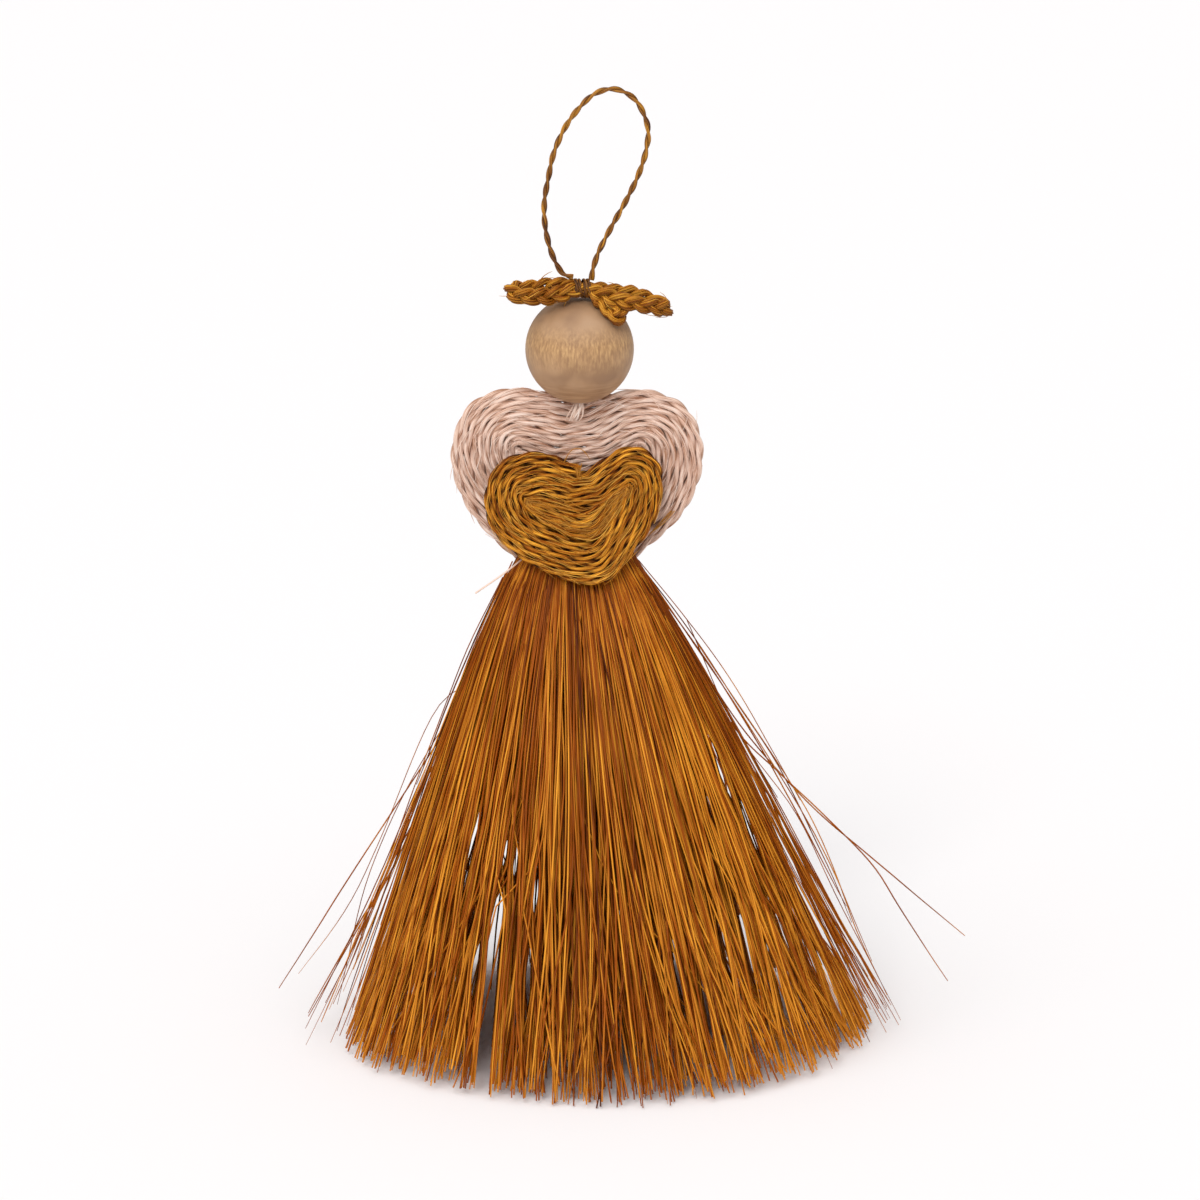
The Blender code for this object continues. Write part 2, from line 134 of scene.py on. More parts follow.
def smoothLine(points, step):
    # a smooth curve through the points, read off at equal distances
    points = np.asarray(points, float)
    ends = np.vstack([2 * points[0] - points[1], points, 2 * points[-1] - points[-2]])
    share = np.linspace(0.0, 1.0, 16, endpoint=False)[:, None]
    spans = []
    for before, start, end, after in zip(ends, ends[1:], ends[2:], ends[3:]):
        leave, arrive = (end - before) / 2, (after - start) / 2
        spans.append(
            start + leave * share
            + (3 * (end - start) - 2 * leave - arrive) * share**2
            + (2 * (start - end) + leave + arrive) * share**3
        )
    return evenly(np.vstack([*spans, points[-1:]]), step)


def slowNoise(rng, count, knots):
    # a smooth random row between -1 and 1
    values = rng.uniform(-1.0, 1.0, knots)
    return np.interp(np.linspace(0, knots - 1, count), np.arange(knots), values)


# Geometry Nodes

def newTree(name, inputs):
    # a geometry tree with named inputs; returns it with its nodes' maker and its inputs' identifiers
    tree = bpy.data.node_groups.new(name, "GeometryNodeTree")
    tree.interface.new_socket("Geometry", in_out="INPUT", socket_type="NodeSocketGeometry")
    tree.interface.new_socket("Geometry", in_out="OUTPUT", socket_type="NodeSocketGeometry")
    identifiers = {}
    for label, kind, default in inputs:
        socket = tree.interface.new_socket(label, in_out="INPUT", socket_type="NodeSocket" + kind)
        if default is not None:
            socket.default_value = default
        identifiers[label] = socket.identifier
    source = tree.nodes.new("NodeGroupInput")
    result = tree.nodes.new("NodeGroupOutput")

    def add(kind, links=(), **settings):
        node = tree.nodes.new(kind)
        for key, value in settings.items():
            setattr(node, key, value)
        for socket, value in dict(links).items():
            target = node.inputs[socket]
            if isinstance(value, bpy.types.NodeSocket):
                tree.links.new(value, target)
            else:
                target.default_value = value
        return node

    return tree, source, result, add, identifiers


def calc(add, operation, first, second=0.0):
    return add("ShaderNodeMath", {0: first, 1: second}, operation=operation).outputs[0]


def vectorCalc(add, operation, first, second):
    return add("ShaderNodeVectorMath", {0: first, 1: second}, operation=operation).outputs[0]


def scaled(add, vector, factor):
    node = add("ShaderNodeVectorMath", {0: vector}, operation="SCALE")
    node.id_data.links.new(factor, node.inputs["Scale"])
    return node.outputs[0]


def named(add, name, kind="FLOAT"):
    return add("GeometryNodeInputNamedAttribute", {"Name": name}, data_type=kind).outputs[0]


def meshFromCurve(add, source, result, curve, sides, material):
    # a round section along a curve, with the section's own directions kept for the finish
    profile = add("GeometryNodeCurvePrimitiveCircle", {"Resolution": sides, "Radius": 1.0})
    radius = add("GeometryNodeInputRadius").outputs[0]
    place = add("GeometryNodeInputPosition").outputs[0]
    marked = add(
        "GeometryNodeStoreNamedAttribute",
        {"Geometry": profile.outputs[0], "Name": "around", "Value": place},
        data_type="FLOAT_VECTOR", domain="POINT",
    )
    tube = add(
        "GeometryNodeCurveToMesh",
        {"Curve": curve, "Profile Curve": marked.outputs[0], "Scale": radius, "Fill Caps": True},
    )
    smooth = add("GeometryNodeSetShadeSmooth", {"Geometry": tube.outputs[0]})
    real = add("GeometryNodeRealizeInstances", {"Geometry": smooth.outputs[0]})
    painted = add("GeometryNodeSetMaterial", {"Geometry": real.outputs[0], "Material": material})
    painted.id_data.links.new(painted.outputs[0], result.inputs[0])


def makeTwineTree():
    # plies laid round a route: each is turned about it by its number and by the length so far
    tree, source, result, add, identifiers = newTree("twistedTwine", [
        ("Plies", "Int", 2), ("Ply radius", "Float", 0.0004), ("Twist radius", "Float", 0.0003),
        ("Twist length", "Float", 0.008), ("Plane normal", "Vector", (0.0, -1.0, 0.0)), ("Flatness", "Float", 1.0),
        ("Sides", "Int", 8), ("Unevenness", "Float", 0.1), ("Seed", "Int", 1), ("Material", "Material", None),
    ])
    curve = add("GeometryNodeMeshToCurve", {"Mesh": source.outputs["Geometry"]})
    plies = add(
        "GeometryNodeDuplicateElements",
        {"Geometry": curve.outputs[0], "Amount": source.outputs["Plies"]}, domain="SPLINE",
    )
    number = plies.outputs["Duplicate Index"]
    along = named(add, "along")
    share = calc(add, "DIVIDE", number, source.outputs["Plies"])
    turns = calc(add, "ADD", calc(add, "DIVIDE", along, source.outputs["Twist length"]), share)
    angle = calc(add, "MULTIPLY", turns, math.tau)
    normal = vectorCalc(add, "NORMALIZE", source.outputs["Plane normal"], (0.0, 0.0, 0.0))
    tangent = add("GeometryNodeInputTangent").outputs[0]
    side = vectorCalc(add, "NORMALIZE", vectorCalc(add, "CROSS_PRODUCT", tangent, normal), (0.0, 0.0, 0.0))
    outward = calc(add, "MULTIPLY", calc(add, "SINE", angle), source.outputs["Twist radius"])
    outward = calc(add, "MULTIPLY", outward, source.outputs["Flatness"])
    sideways = calc(add, "MULTIPLY", calc(add, "COSINE", angle), source.outputs["Twist radius"])
    offset = vectorCalc(add, "ADD", scaled(add, normal, outward), scaled(add, side, sideways))
    placed = add("GeometryNodeSetPosition", {"Geometry": plies.outputs[0], "Offset": offset})
    # how far each ply has come round to the front; the twine finish paints shade where it dives back
    raised = add(
        "GeometryNodeStoreNamedAttribute",
        {"Geometry": placed.outputs[0], "Name": "raised", "Value": calc(add, "SINE", angle)},
        data_type="FLOAT", domain="POINT",
    )
    marked = add(
        "GeometryNodeStoreNamedAttribute",
        {"Geometry": raised.outputs[0], "Name": "ply", "Value": number}, data_type="FLOAT", domain="POINT",
    )
    spot = calc(add, "ADD", calc(add, "MULTIPLY", along, 260.0), calc(add, "MULTIPLY", number, 17.3))
    spot = calc(add, "ADD", spot, source.outputs["Seed"])
    noise = add("ShaderNodeTexNoise", {"W": spot, "Scale": 1.0}, noise_dimensions="1D").outputs[0]
    swell = calc(add, "MULTIPLY", calc(add, "SUBTRACT", noise, 0.5), calc(add, "MULTIPLY", source.outputs["Unevenness"], 2.0))
    radius = calc(add, "MULTIPLY", source.outputs["Ply radius"], calc(add, "ADD", swell, 1.0))
    thick = add("GeometryNodeSetCurveRadius", {"Curve": marked.outputs[0], "Radius": radius})
    meshFromCurve(add, source, result, thick.outputs[0], source.outputs["Sides"], source.outputs["Material"])
    return tree, identifiers


def makeFibreTree():
    # single fibres: each waves a little by its own noise and thins towards its cut end
    tree, source, result, add, identifiers = newTree("looseFibres", [
        ("Wave", "Float", 0.0004), ("Wave scale", "Float", 60.0), ("Tip share", "Float", 0.55),
        ("Root share", "Float", 1.0),
        ("Sides", "Int", 3), ("Seed", "Int", 1), ("Material", "Material", None),
    ])
    curve = add("GeometryNodeMeshToCurve", {"Mesh": source.outputs["Geometry"]})
    tone, share, width = named(add, "tone"), named(add, "share"), named(add, "width")
    place = add("GeometryNodeInputPosition").outputs[0]
    spot = calc(add, "ADD", calc(add, "MULTIPLY", tone, 83.0), source.outputs["Seed"])
    noise = add(
        "ShaderNodeTexNoise", {"Vector": place, "W": spot, "Scale": source.outputs["Wave scale"], "Detail": 1.0},
        noise_dimensions="4D",
    ).outputs["Color"]
    swing = vectorCalc(add, "SUBTRACT", noise, (0.5, 0.5, 0.5))
    reach = calc(add, "MULTIPLY", source.outputs["Wave"], share)
    placed = add("GeometryNodeSetPosition", {"Geometry": curve.outputs[0], "Offset": scaled(add, swing, reach)})
    late = add("ShaderNodeMapRange", {"Value": share, "From Min": 0.8, "From Max": 1.0, "To Min": 1.0,
                                      "To Max": source.outputs["Tip share"]}).outputs[0]
    early = add("ShaderNodeMapRange", {"Value": share, "From Min": 0.0, "From Max": 0.45, "To Max": 1.0,
                                       "To Min": source.outputs["Root share"]}).outputs[0]
    radius = calc(add, "MULTIPLY", width, calc(add, "MULTIPLY", early, late))
    thick = add("GeometryNodeSetCurveRadius", {"Curve": placed.outputs[0], "Radius": radius})
    meshFromCurve(add, source, result, thick.outputs[0], source.outputs["Sides"], source.outputs["Material"])
    return tree, identifiers


twineTree = makeTwineTree()
fibreTree = makeFibreTree()


def linesObject(name, lines, rows):
    # a mesh of bare edges for the trees; rows holds one value for each point of each line
    sizes = [len(line) for line in lines]
    starts = np.concatenate([[0], np.cumsum(sizes)[:-1]])
    edges = np.concatenate([np.stack([np.arange(n - 1), np.arange(1, n)], 1) + s for n, s in zip(sizes, starts)])
    mesh = bpy.data.meshes.new(name)
    mesh.vertices.add(sum(sizes))
    mesh.vertices.foreach_set("co", np.concatenate(lines).astype(np.float32).ravel())
    mesh.edges.add(len(edges))
    mesh.edges.foreach_set("vertices", edges.astype(np.int32).ravel())
    for label, values in rows.items():
        attribute = mesh.attributes.new(label, "FLOAT", "POINT")
        attribute.data.foreach_set("value", np.concatenate(values).astype(np.float32))
    obj = bpy.data.objects.new(name + "_route", mesh)
    bpy.context.scene.collection.objects.link(obj)
    return obj


def runTree(name, source, treeAndInputs, values):
    # the tree's result on the source as a plain mesh object; the source and its modifier go
    tree, identifiers = treeAndInputs
    modifier = source.modifiers.new("build", "NODES")
    modifier.node_group = tree
    for label, value in values.items():
        modifier[identifiers[label]] = value
    graph = bpy.context.evaluated_depsgraph_get()
    mesh = bpy.data.meshes.new_from_object(source.evaluated_get(graph), preserve_all_data_layers=True, depsgraph=graph)
    mesh.name = name
    bpy.data.objects.remove(source)
    piece = bpy.data.objects.new(name, mesh)
    bpy.context.scene.collection.objects.link(piece)
    return piece


def twine(name, lines, values):
    alongs = [lineLengths(line) for line in lines]
    return runTree(name, linesObject(name, lines, {"along": alongs}), twineTree, values)


def fibres(name, lines, tones, widths, values):
    rows = {
        "tone": [np.full(len(line), tone) for line, tone in zip(lines, tones)],
        "share": [np.linspace(0.0, 1.0, len(line)) for line in lines],
        "width": [np.full(len(line), width) for line, width in zip(lines, widths)],
        "along": [lineLengths(line) for line in lines],
    }
    return runTree(name, linesObject(name, lines, rows), fibreTree, values)


def joined(name, pieces):
    bm = bmesh.new()
    materials = []
    for piece in pieces:
        start = len(bm.faces)
        bm.from_mesh(piece.data)
        bm.faces.ensure_lookup_table()
        for material in piece.data.materials:
            if material not in materials:
                materials.append(material)
        index = materials.index(piece.data.materials[0])
        for face in bm.faces[start:]:
            face.material_index = index
    mesh = bpy.data.meshes.new(name)
    bm.to_mesh(mesh)
    bm.free()
    for material in materials:
        mesh.materials.append(material)
    for piece in pieces:
        bpy.data.objects.remove(piece)
    obj = bpy.data.objects.new(name, mesh)
    bpy.context.scene.collection.objects.link(obj)
    return obj


def finishPiece(piece, nodes=()):
    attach(piece, "root")
    if nodes:
        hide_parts(*nodes)
    print("made", piece.name, len(piece.data.polygons), "faces")


# materials

def newMaterial(name, roughness, specular=0.5):
    material = bpy.data.materials.new(name)
    material.use_nodes = True
    nodes, links = material.node_tree.nodes, material.node_tree.links
    shader = nodes["Principled BSDF"]
    shader.inputs["Roughness"].default_value = roughness
    shader.inputs["Specular IOR Level"].default_value = specular

    def add(kind, values=(), **settings):
        node = nodes.new(kind)
        for key, value in settings.items():
            setattr(node, key, value)
        for socket, value in dict(values).items():
            if isinstance(value, bpy.types.NodeSocket):
                links.new(value, node.inputs[socket])
            else:
                node.inputs[socket].default_value = value
        return node

    return material, shader, add, links


def ramp(add, value, stops):
    node = add("ShaderNodeValToRGB", {"Fac": value})
    elements = node.color_ramp.elements
    while len(elements) < len(stops):
        elements.new(0.5)
    for element, (place, colour) in zip(elements, stops):
        element.position = place
        element.color = (*colour, 1.0)
    return node.outputs["Color"]


def strandSpot(add, aroundScale, alongScale):
    # a place on a strand's own surface: round it and along it, so that streaks run with the fibre
    around = add("ShaderNodeAttribute", attribute_name="around").outputs["Vector"]
    along = add("ShaderNodeAttribute", attribute_name="along").outputs["Fac"]
    ply = add("ShaderNodeAttribute", attribute_name="ply").outputs["Fac"]
    wide = add("ShaderNodeVectorMath", {0: around, 1: (aroundScale,) * 3}, operation="MULTIPLY").outputs[0]
    far = add("ShaderNodeMath", {0: along, 1: alongScale}, operation="MULTIPLY").outputs[0]
    own = add("ShaderNodeMath", {0: ply, 1: 31.7}, operation="MULTIPLY").outputs[0]
    far = add("ShaderNodeMath", {0: far, 1: own}, operation="ADD").outputs[0]
    lifted = add("ShaderNodeCombineXYZ", {"Z": far}).outputs[0]
    return add("ShaderNodeVectorMath", {0: wide, 1: lifted}, operation="ADD").outputs[0]


def twineMaterial(name, dark, middle, light, roughness, bumpDepth, specular=0.4, paintedGrooveShade=1.0):
    # twine: streaks of fibre along each ply, slow changes of dye, and painted shade where a ply dives in behind the
    # others
    material, shader, add, links = newMaterial(name, roughness, specular)
    streaks = add(
        "ShaderNodeTexNoise", {"Vector": strandSpot(add, 3.4, 210.0), "Scale": 1.0, "Detail": 4.0, "Roughness": 0.62},
    ).outputs[0]
    slow = add(
        "ShaderNodeTexNoise", {"Vector": strandSpot(add, 0.5, 150.0), "Scale": 1.0, "Detail": 1.0},
    ).outputs[0]
    blend = add("ShaderNodeMath", {0: streaks, 1: 0.72}, operation="MULTIPLY").outputs[0]
    blend = add("ShaderNodeMath", {0: slow, 1: 0.28, 2: blend}, operation="MULTIPLY_ADD").outputs[0]
    colour = ramp(add, blend, [(0.38, dark), (0.49, middle), (0.61, light)])
    # painted shade: each ply darkens as it turns away to the back, where the others shade it
    raised = add("ShaderNodeAttribute", attribute_name="raised").outputs["Fac"]
    deep = add("ShaderNodeMapRange", {"Value": raised, "From Min": 0.35, "From Max": -0.75, "To Max": paintedGrooveShade}).outputs[0]
    colourWithGrooveShade = add("ShaderNodeMix", {0: deep, 6: colour, 7: (*[v * 0.8 for v in dark], 1.0)}, data_type="RGBA")
    links.new(colourWithGrooveShade.outputs[2], shader.inputs["Base Color"])
    bump = add("ShaderNodeBump", {"Height": streaks, "Distance": bumpDepth, "Strength": 0.8})
    links.new(bump.outputs[0], shader.inputs["Normal"])
    return material


def fibreMaterial(name, dark, middle, light, roughness, specular=0.5, rootPaintedShade=0.0):
    # loose fibre: each has its own tone, a little paler and darker along its length, with painted shade at its root
    material, shader, add, links = newMaterial(name, roughness, specular)
    tone = add("ShaderNodeAttribute", attribute_name="tone").outputs["Fac"]
    along = add("ShaderNodeAttribute", attribute_name="along").outputs["Fac"]
    far = add("ShaderNodeMath", {0: along, 1: 70.0}, operation="MULTIPLY").outputs[0]
    own = add("ShaderNodeMath", {0: tone, 1: 450.0, 2: far}, operation="MULTIPLY_ADD").outputs[0]
    patches = add("ShaderNodeTexNoise", {"W": own, "Scale": 1.0, "Detail": 2.0}, noise_dimensions="1D").outputs[0]
    blend = add("ShaderNodeMath", {0: patches, 1: 0.5}, operation="MULTIPLY").outputs[0]
    blend = add("ShaderNodeMath", {0: tone, 1: 0.5, 2: blend}, operation="MULTIPLY_ADD").outputs[0]
    # painted shade: the fibres darken towards their roots, where they are packed tight under the hearts
    share = add("ShaderNodeAttribute", attribute_name="share").outputs["Fac"]
    root = add("ShaderNodeMapRange", {"Value": share, "From Min": 0.46, "From Max": 0.12, "To Max": -rootPaintedShade}).outputs[0]
    blend = add("ShaderNodeMath", {0: blend, 1: root}, operation="ADD").outputs[0]
    colour = ramp(add, blend, [(0.18, dark), (0.5, middle), (0.82, light)])
    links.new(colour, shader.inputs["Base Color"])
    return material


# goldFibre's last value is its painted shade at the roots
goldFibre = fibreMaterial(
    "goldFibre", (0.080, 0.012, 0.0005), (0.350, 0.078, 0.0015), (0.80, 0.325, 0.026), 0.40, 0.13, 0.12)
# each twine's last value is its painted shade where a ply dives in
goldTwine = twineMaterial(
    "goldTwine", (0.018, 0.002, 0.0003), (0.36, 0.090, 0.002), (1.0, 0.49, 0.050), 0.48, 0.00018, 0.10, 0.95)
bowTwine = twineMaterial(
    "bowTwine", (0.085, 0.016, 0.001), (0.40, 0.117, 0.005), (0.86, 0.44, 0.050), 0.46, 0.00016, 0.16, 0.55)
goldFray = fibreMaterial("goldFray", (0.26, 0.085, 0.004), (0.50, 0.20, 0.015), (0.84, 0.46, 0.070), 0.45, 0.3)
paleTwine = twineMaterial(
    "paleTwine", (0.38, 0.160, 0.078), (0.79, 0.54, 0.42), (0.95, 0.77, 0.67), 0.65, 0.00015, 0.10, 0.50)
paleFibre = fibreMaterial("paleFibre", (0.58, 0.36, 0.26), (0.86, 0.64, 0.52), (1.0, 0.88, 0.79), 0.6, 0.3)
cordTwine = twineMaterial(
    "cordTwine", (0.035, 0.008, 0.001), (0.22, 0.068, 0.003), (0.64, 0.29, 0.024), 0.46, 0.00010, 0.3, 0.5)
threadTwine = twineMaterial(
    "threadTwine", (0.026, 0.007, 0.001), (0.12, 0.038, 0.006), (0.38, 0.16, 0.025), 0.55, 0.00008, 0.3, 0.5)


def makeBeadMaterial(centre):
    # unvarnished wood: tan, with short upright flecks across the middle and fine level grain below
    material, shader, add, links = newMaterial("beadWood", 0.52, 0.35)
    place = add("ShaderNodeTexCoord").outputs["Object"]
    spot = add("ShaderNodeMapping", {"Vector": place, "Location": tuple(-v * 1000 for v in centre), "Scale": (1000.0,) * 3}).outputs[0]
    upright = add("ShaderNodeMapping", {"Vector": spot, "Scale": (2.4, 2.4, 0.62)}).outputs[0]
    flecks = add("ShaderNodeTexNoise", {"Vector": upright, "Scale": 1.0, "Detail": 3.0, "Roughness": 0.55}).outputs[0]
    level = add("ShaderNodeMapping", {"Vector": spot, "Scale": (0.22, 0.22, 3.0)}).outputs[0]
    grain = add("ShaderNodeTexNoise", {"Vector": level, "Scale": 1.0, "Detail": 3.0}).outputs[0]
    clouds = add("ShaderNodeTexNoise", {"Vector": spot, "Scale": 0.16, "Detail": 2.0}).outputs[0]
    height = add("ShaderNodeSeparateXYZ", {"Vector": spot}).outputs
    belt = add("ShaderNodeMapRange", {"Value": height[2], "From Min": -3.5, "From Max": 1.5}).outputs[0]
    beltTop = add("ShaderNodeMapRange", {"Value": height[2], "From Min": 6.0, "From Max": 2.0}).outputs[0]
    belt = add("ShaderNodeMath", {0: belt, 1: beltTop}, operation="MULTIPLY").outputs[0]
    foot = add("ShaderNodeMapRange", {"Value": height[2], "From Min": -4.5, "From Max": -7.5}).outputs[0]
    base = ramp(add, clouds, [(0.36, (0.31, 0.175, 0.092)), (0.50, (0.40, 0.235, 0.125)), (0.66, (0.46, 0.285, 0.165))])
    bright = ramp(add, flecks, [(0.38, (0.34, 0.185, 0.084)), (0.52, (0.48, 0.275, 0.122)), (0.68, (0.62, 0.380, 0.170))])
    share = add("ShaderNodeMath", {0: belt, 1: 0.85}, operation="MULTIPLY").outputs[0]
    mixed = add("ShaderNodeMix", {0: share, 6: base, 7: bright}, data_type="RGBA")
    lines = ramp(add, grain, [(0.40, (0.28, 0.145, 0.070)), (0.55, (0.40, 0.230, 0.118)), (0.7, (0.46, 0.280, 0.150))])
    low = add("ShaderNodeMath", {0: foot, 1: 0.7}, operation="MULTIPLY").outputs[0]
    result = add("ShaderNodeMix", {0: low, 6: mixed.outputs[2], 7: lines}, data_type="RGBA")
    links.new(result.outputs[2], shader.inputs["Base Color"])
    bump = add("ShaderNodeBump", {"Height": flecks, "Distance": 0.00006, "Strength": 0.35})
    links.new(bump.outputs[0], shader.inputs["Normal"])
    return material


print("materials ready")


# hanging cord: the route is the one in the part

cordSettings = {
    "diameter": 0.0011,
    "plyRadius": 0.00030,
    "twistRadius": 0.00027,
    "twistLength": 0.0060,
    "step": 0.0004,
    "route": [
        (-0.0090, -0.0027, 0.1443), (-0.0102, -0.00265, 0.1446), (-0.0113, -0.00255, 0.1455),
        (-0.01295, -0.0023, 0.1489), (-0.0140, -0.0020, 0.1534), (-0.01415, -0.0017, 0.1579),
        (-0.0134, -0.0014, 0.1624), (-0.0124, -0.0011, 0.1669), (-0.0104, -0.00085, 0.1714),
        (-0.00795, -0.0006, 0.1748), (-0.0052, -0.0005, 0.1774), (-0.0020, -0.0004, 0.1784),
        (0.00075, -0.00045, 0.1776), (0.00295, -0.0006, 0.1756), (0.0046, -0.00085, 0.1714),
        (0.0042, -0.0011, 0.1669), (0.0027, -0.0014, 0.1624), (0.0005, -0.0017, 0.1579),
        (-0.0020, -0.0020, 0.1534), (-0.0043, -0.0023, 0.1489), (-0.0053, -0.0025, 0.1459),
        (-0.00565, -0.0026, 0.14375),
    ],
}


def makeHangingCord():
    route = smoothLine(cordSettings["route"], cordSettings["step"])
    cord = twine("hangingCord", [route], {
        "Plies": 2, "Ply radius": cordSettings["plyRadius"], "Twist radius": cordSettings["twistRadius"],
        "Twist length": cordSettings["twistLength"], "Plane normal": (0.0, -1.0, 0.0), "Sides": 12,
        "Unevenness": 0.10, "Seed": 5, "Material": cordTwine,
    })
    finishPiece(cord, ["hanging_cord"])
    float(lineLengths(route)[-1])


makeHangingCord()


# the two coiled hearts

# Outline and core in shares of half the heart's width, from its tip up. The outline runs up the right
# side and down the left. The core is what the full turns leave: folded rows between its two edges.
wingSettings = {
    "node": "wing_heart",
    "width": 0.0474,
    "tip": (-0.0083, 0.00455, 0.0816),
    "lean": math.radians(5.14),
    "thickness": 0.0028,
    "right": [
        (0.0, 0.0), (0.27, 0.15), (0.54, 0.385), (0.76, 0.59), (0.915, 0.80), (1.0, 1.02), (1.02, 1.22),
        (0.99, 1.41), (0.915, 1.57), (0.775, 1.70), (0.53, 1.775), (0.265, 1.745), (0.0, 1.662),
    ],
    "left": [
        (0.0, 1.662), (-0.26, 1.72), (-0.52, 1.75), (-0.75, 1.675), (-0.885, 1.55), (-0.955, 1.40), (-0.985, 1.22),
        (-0.97, 1.02), (-0.89, 0.80), (-0.745, 0.585), (-0.54, 0.37), (-0.27, 0.14), (0.0, 0.0),
    ],
    "coreTop": [(-0.47, 1.25), (-0.30, 1.17), (0.0, 1.08), (0.30, 1.17), (0.47, 1.25)],
    "coreFoot": [(-0.47, 1.25), (-0.44, 1.12), (-0.33, 0.96), (-0.14, 0.80), (0.0, 0.66),
                 (0.14, 0.80), (0.33, 0.96), (0.44, 1.12), (0.47, 1.25)],
    "turns": 10,
    "folds": 6,
    "plyRadius": 0.00043,
    "twistRadius": 0.00034,
    "twistLength": 0.0100,
    "seed": 3,
}

bodySettings = {
    "node": "body_heart",
    "width": 0.0334,
    "tip": (-0.0044, -0.00455, 0.0862),
    "lean": math.radians(-13.25),
    "thickness": 0.0024,
    "right": [
        (-0.13, 0.02), (0.10, 0.05), (0.29, 0.22), (0.44, 0.43), (0.61, 0.64), (0.715, 0.90), (0.75, 1.17),
        (0.71, 1.42), (0.54, 1.60), (0.30, 1.635), (0.08, 1.53), (-0.07, 1.425), (-0.19, 1.355),
    ],
    "left": [
        (-0.19, 1.355), (-0.34, 1.42), (-0.52, 1.495), (-0.76, 1.525), (-1.02, 1.46), (-1.20, 1.27), (-1.265, 0.99),
        (-1.22, 0.73), (-1.08, 0.51), (-0.85, 0.32), (-0.58, 0.18), (-0.34, 0.075), (-0.13, 0.02),
    ],
    "coreTop": [(-0.80, 0.99), (-0.62, 1.02), (-0.40, 0.95), (-0.17, 0.87), (0.05, 0.96), (0.20, 1.06), (0.33, 1.13)],
    "coreFoot": [(-0.80, 0.99), (-0.76, 0.86), (-0.62, 0.73), (-0.40, 0.61), (-0.2, 0.53), (-0.02, 0.55),
                 (0.10, 0.68), (0.20, 0.84), (0.28, 0.99), (0.33, 1.13)],
    "turns": 7,
    "folds": 6,
    "plyRadius": 0.00036,
    "twistRadius": 0.00031,
    "twistLength": 0.0088,
    "seed": 8,
}


def heartPlane(settings):
    # from shares in the heart's plane, and a depth behind its front, to places in the frame
    half = settings["width"] / 2
    lean = settings["lean"]
    tip = np.array(settings["tip"])
    back = settings["thickness"] if settings["node"] == "wing_heart" else 0.0

    def place(flat, depth):
        flat = np.asarray(flat, float)
        y = np.zeros(len(flat)) + depth - settings["thickness"] + back
        z = flat[:, 1] * half
        return np.stack([
            tip[0] + flat[:, 0] * half,
            tip[1] + y * math.cos(lean) - z * math.sin(lean),
            tip[2] + y * math.sin(lean) + z * math.cos(lean),
        ], axis=1)

    return place


def nearestOn(polygon, points):
    # the nearest place on a line of points, for each point
    starts, ends = polygon[:-1], polygon[1:]
    run = ends - starts
    away = points[:, None, :] - starts[None]
    share = np.clip((away * run).sum(2) / np.maximum((run * run).sum(1), 1e-12), 0.0, 1.0)
    spots = starts[None] + run[None] * share[..., None]
    best = np.argmin(((points[:, None, :] - spots) ** 2).sum(2), axis=1)
    return spots[np.arange(len(points)), best]


def heartCoil(settings, rng, pitchShift):
    # the twine's way over one face of a heart, in shares: full turns inwards from the notch, then the folded core
    outline = smoothLine([*settings["left"], *settings["right"][1:]], 0.02)
    top, foot = smoothLine(settings["coreTop"], 0.02), smoothLine(settings["coreFoot"], 0.02)
    inner = nearestOn(np.vstack([top, foot[::-1]]), outline)
    count = len(outline)
    turns = settings["turns"]
    steps = np.arange(turns * count)
    share = (0.5 + pitchShift + steps / count * (turns - 0.6) / turns) / turns
    spiral = outline[steps % count] * (1 - share[:, None]) + inner[steps % count] * share[:, None]
    rows = []
    across = np.linspace(0.0, 1.0, 40)
    topEven = np.stack([np.interp(across, np.linspace(0, 1, len(top)), top[:, i]) for i in range(2)], 1)
    footEven = np.stack([np.interp(across, np.linspace(0, 1, len(foot)), foot[:, i]) for i in range(2)], 1)
    for fold in range(settings["folds"]):
        depth = (fold + 0.2) / settings["folds"]
        trim = int(rng.integers(0, 2))
        row = (topEven * (1 - depth) + footEven * depth)[trim:40 - trim]
        rows.append(row if fold % 2 else row[::-1])
    folded = smoothLine(np.vstack(rows)[::3], 0.02)
    return spiral, folded


def makeHeart(settings, material):
    rng = np.random.default_rng(settings["seed"])
    place = heartPlane(settings)
    half = settings["width"] / 2
    layers = []
    reach = settings["plyRadius"] + settings["twistRadius"]
    for name, depth, sides, step in (
        ("front", reach * 0.95, 9, 0.00042), ("back", settings["thickness"] - reach * 0.95, 6, 0.0006),
    ):
        lines = []
        for flat in heartCoil(settings, rng, 0.0 if name == "front" else 0.5):
            flat = evenly(flat, step / half)
            wander = slowNoise(rng, len(flat), len(flat) // 12 + 2) * 0.00010
            sag = slowNoise(rng, len(flat), len(flat) // 9 + 2) * 0.00012
            line = place(flat, depth + sag)
            line[:, 0] += wander
            line[:, 2] += slowNoise(rng, len(flat), len(flat) // 10 + 2) * 0.00010
            lines.append(line)
        lean = settings["lean"]
        layers.append(twine(settings["node"] + name, lines, {
            "Plies": 2, "Ply radius": settings["plyRadius"], "Twist radius": settings["twistRadius"],
            "Twist length": settings["twistLength"], "Plane normal": (0.0, -math.cos(lean), -math.sin(lean)),
            "Sides": sides, "Unevenness": 0.22, "Seed": settings["seed"], "Material": material,
        }))
    return joined(settings["node"] + "_coil", layers)


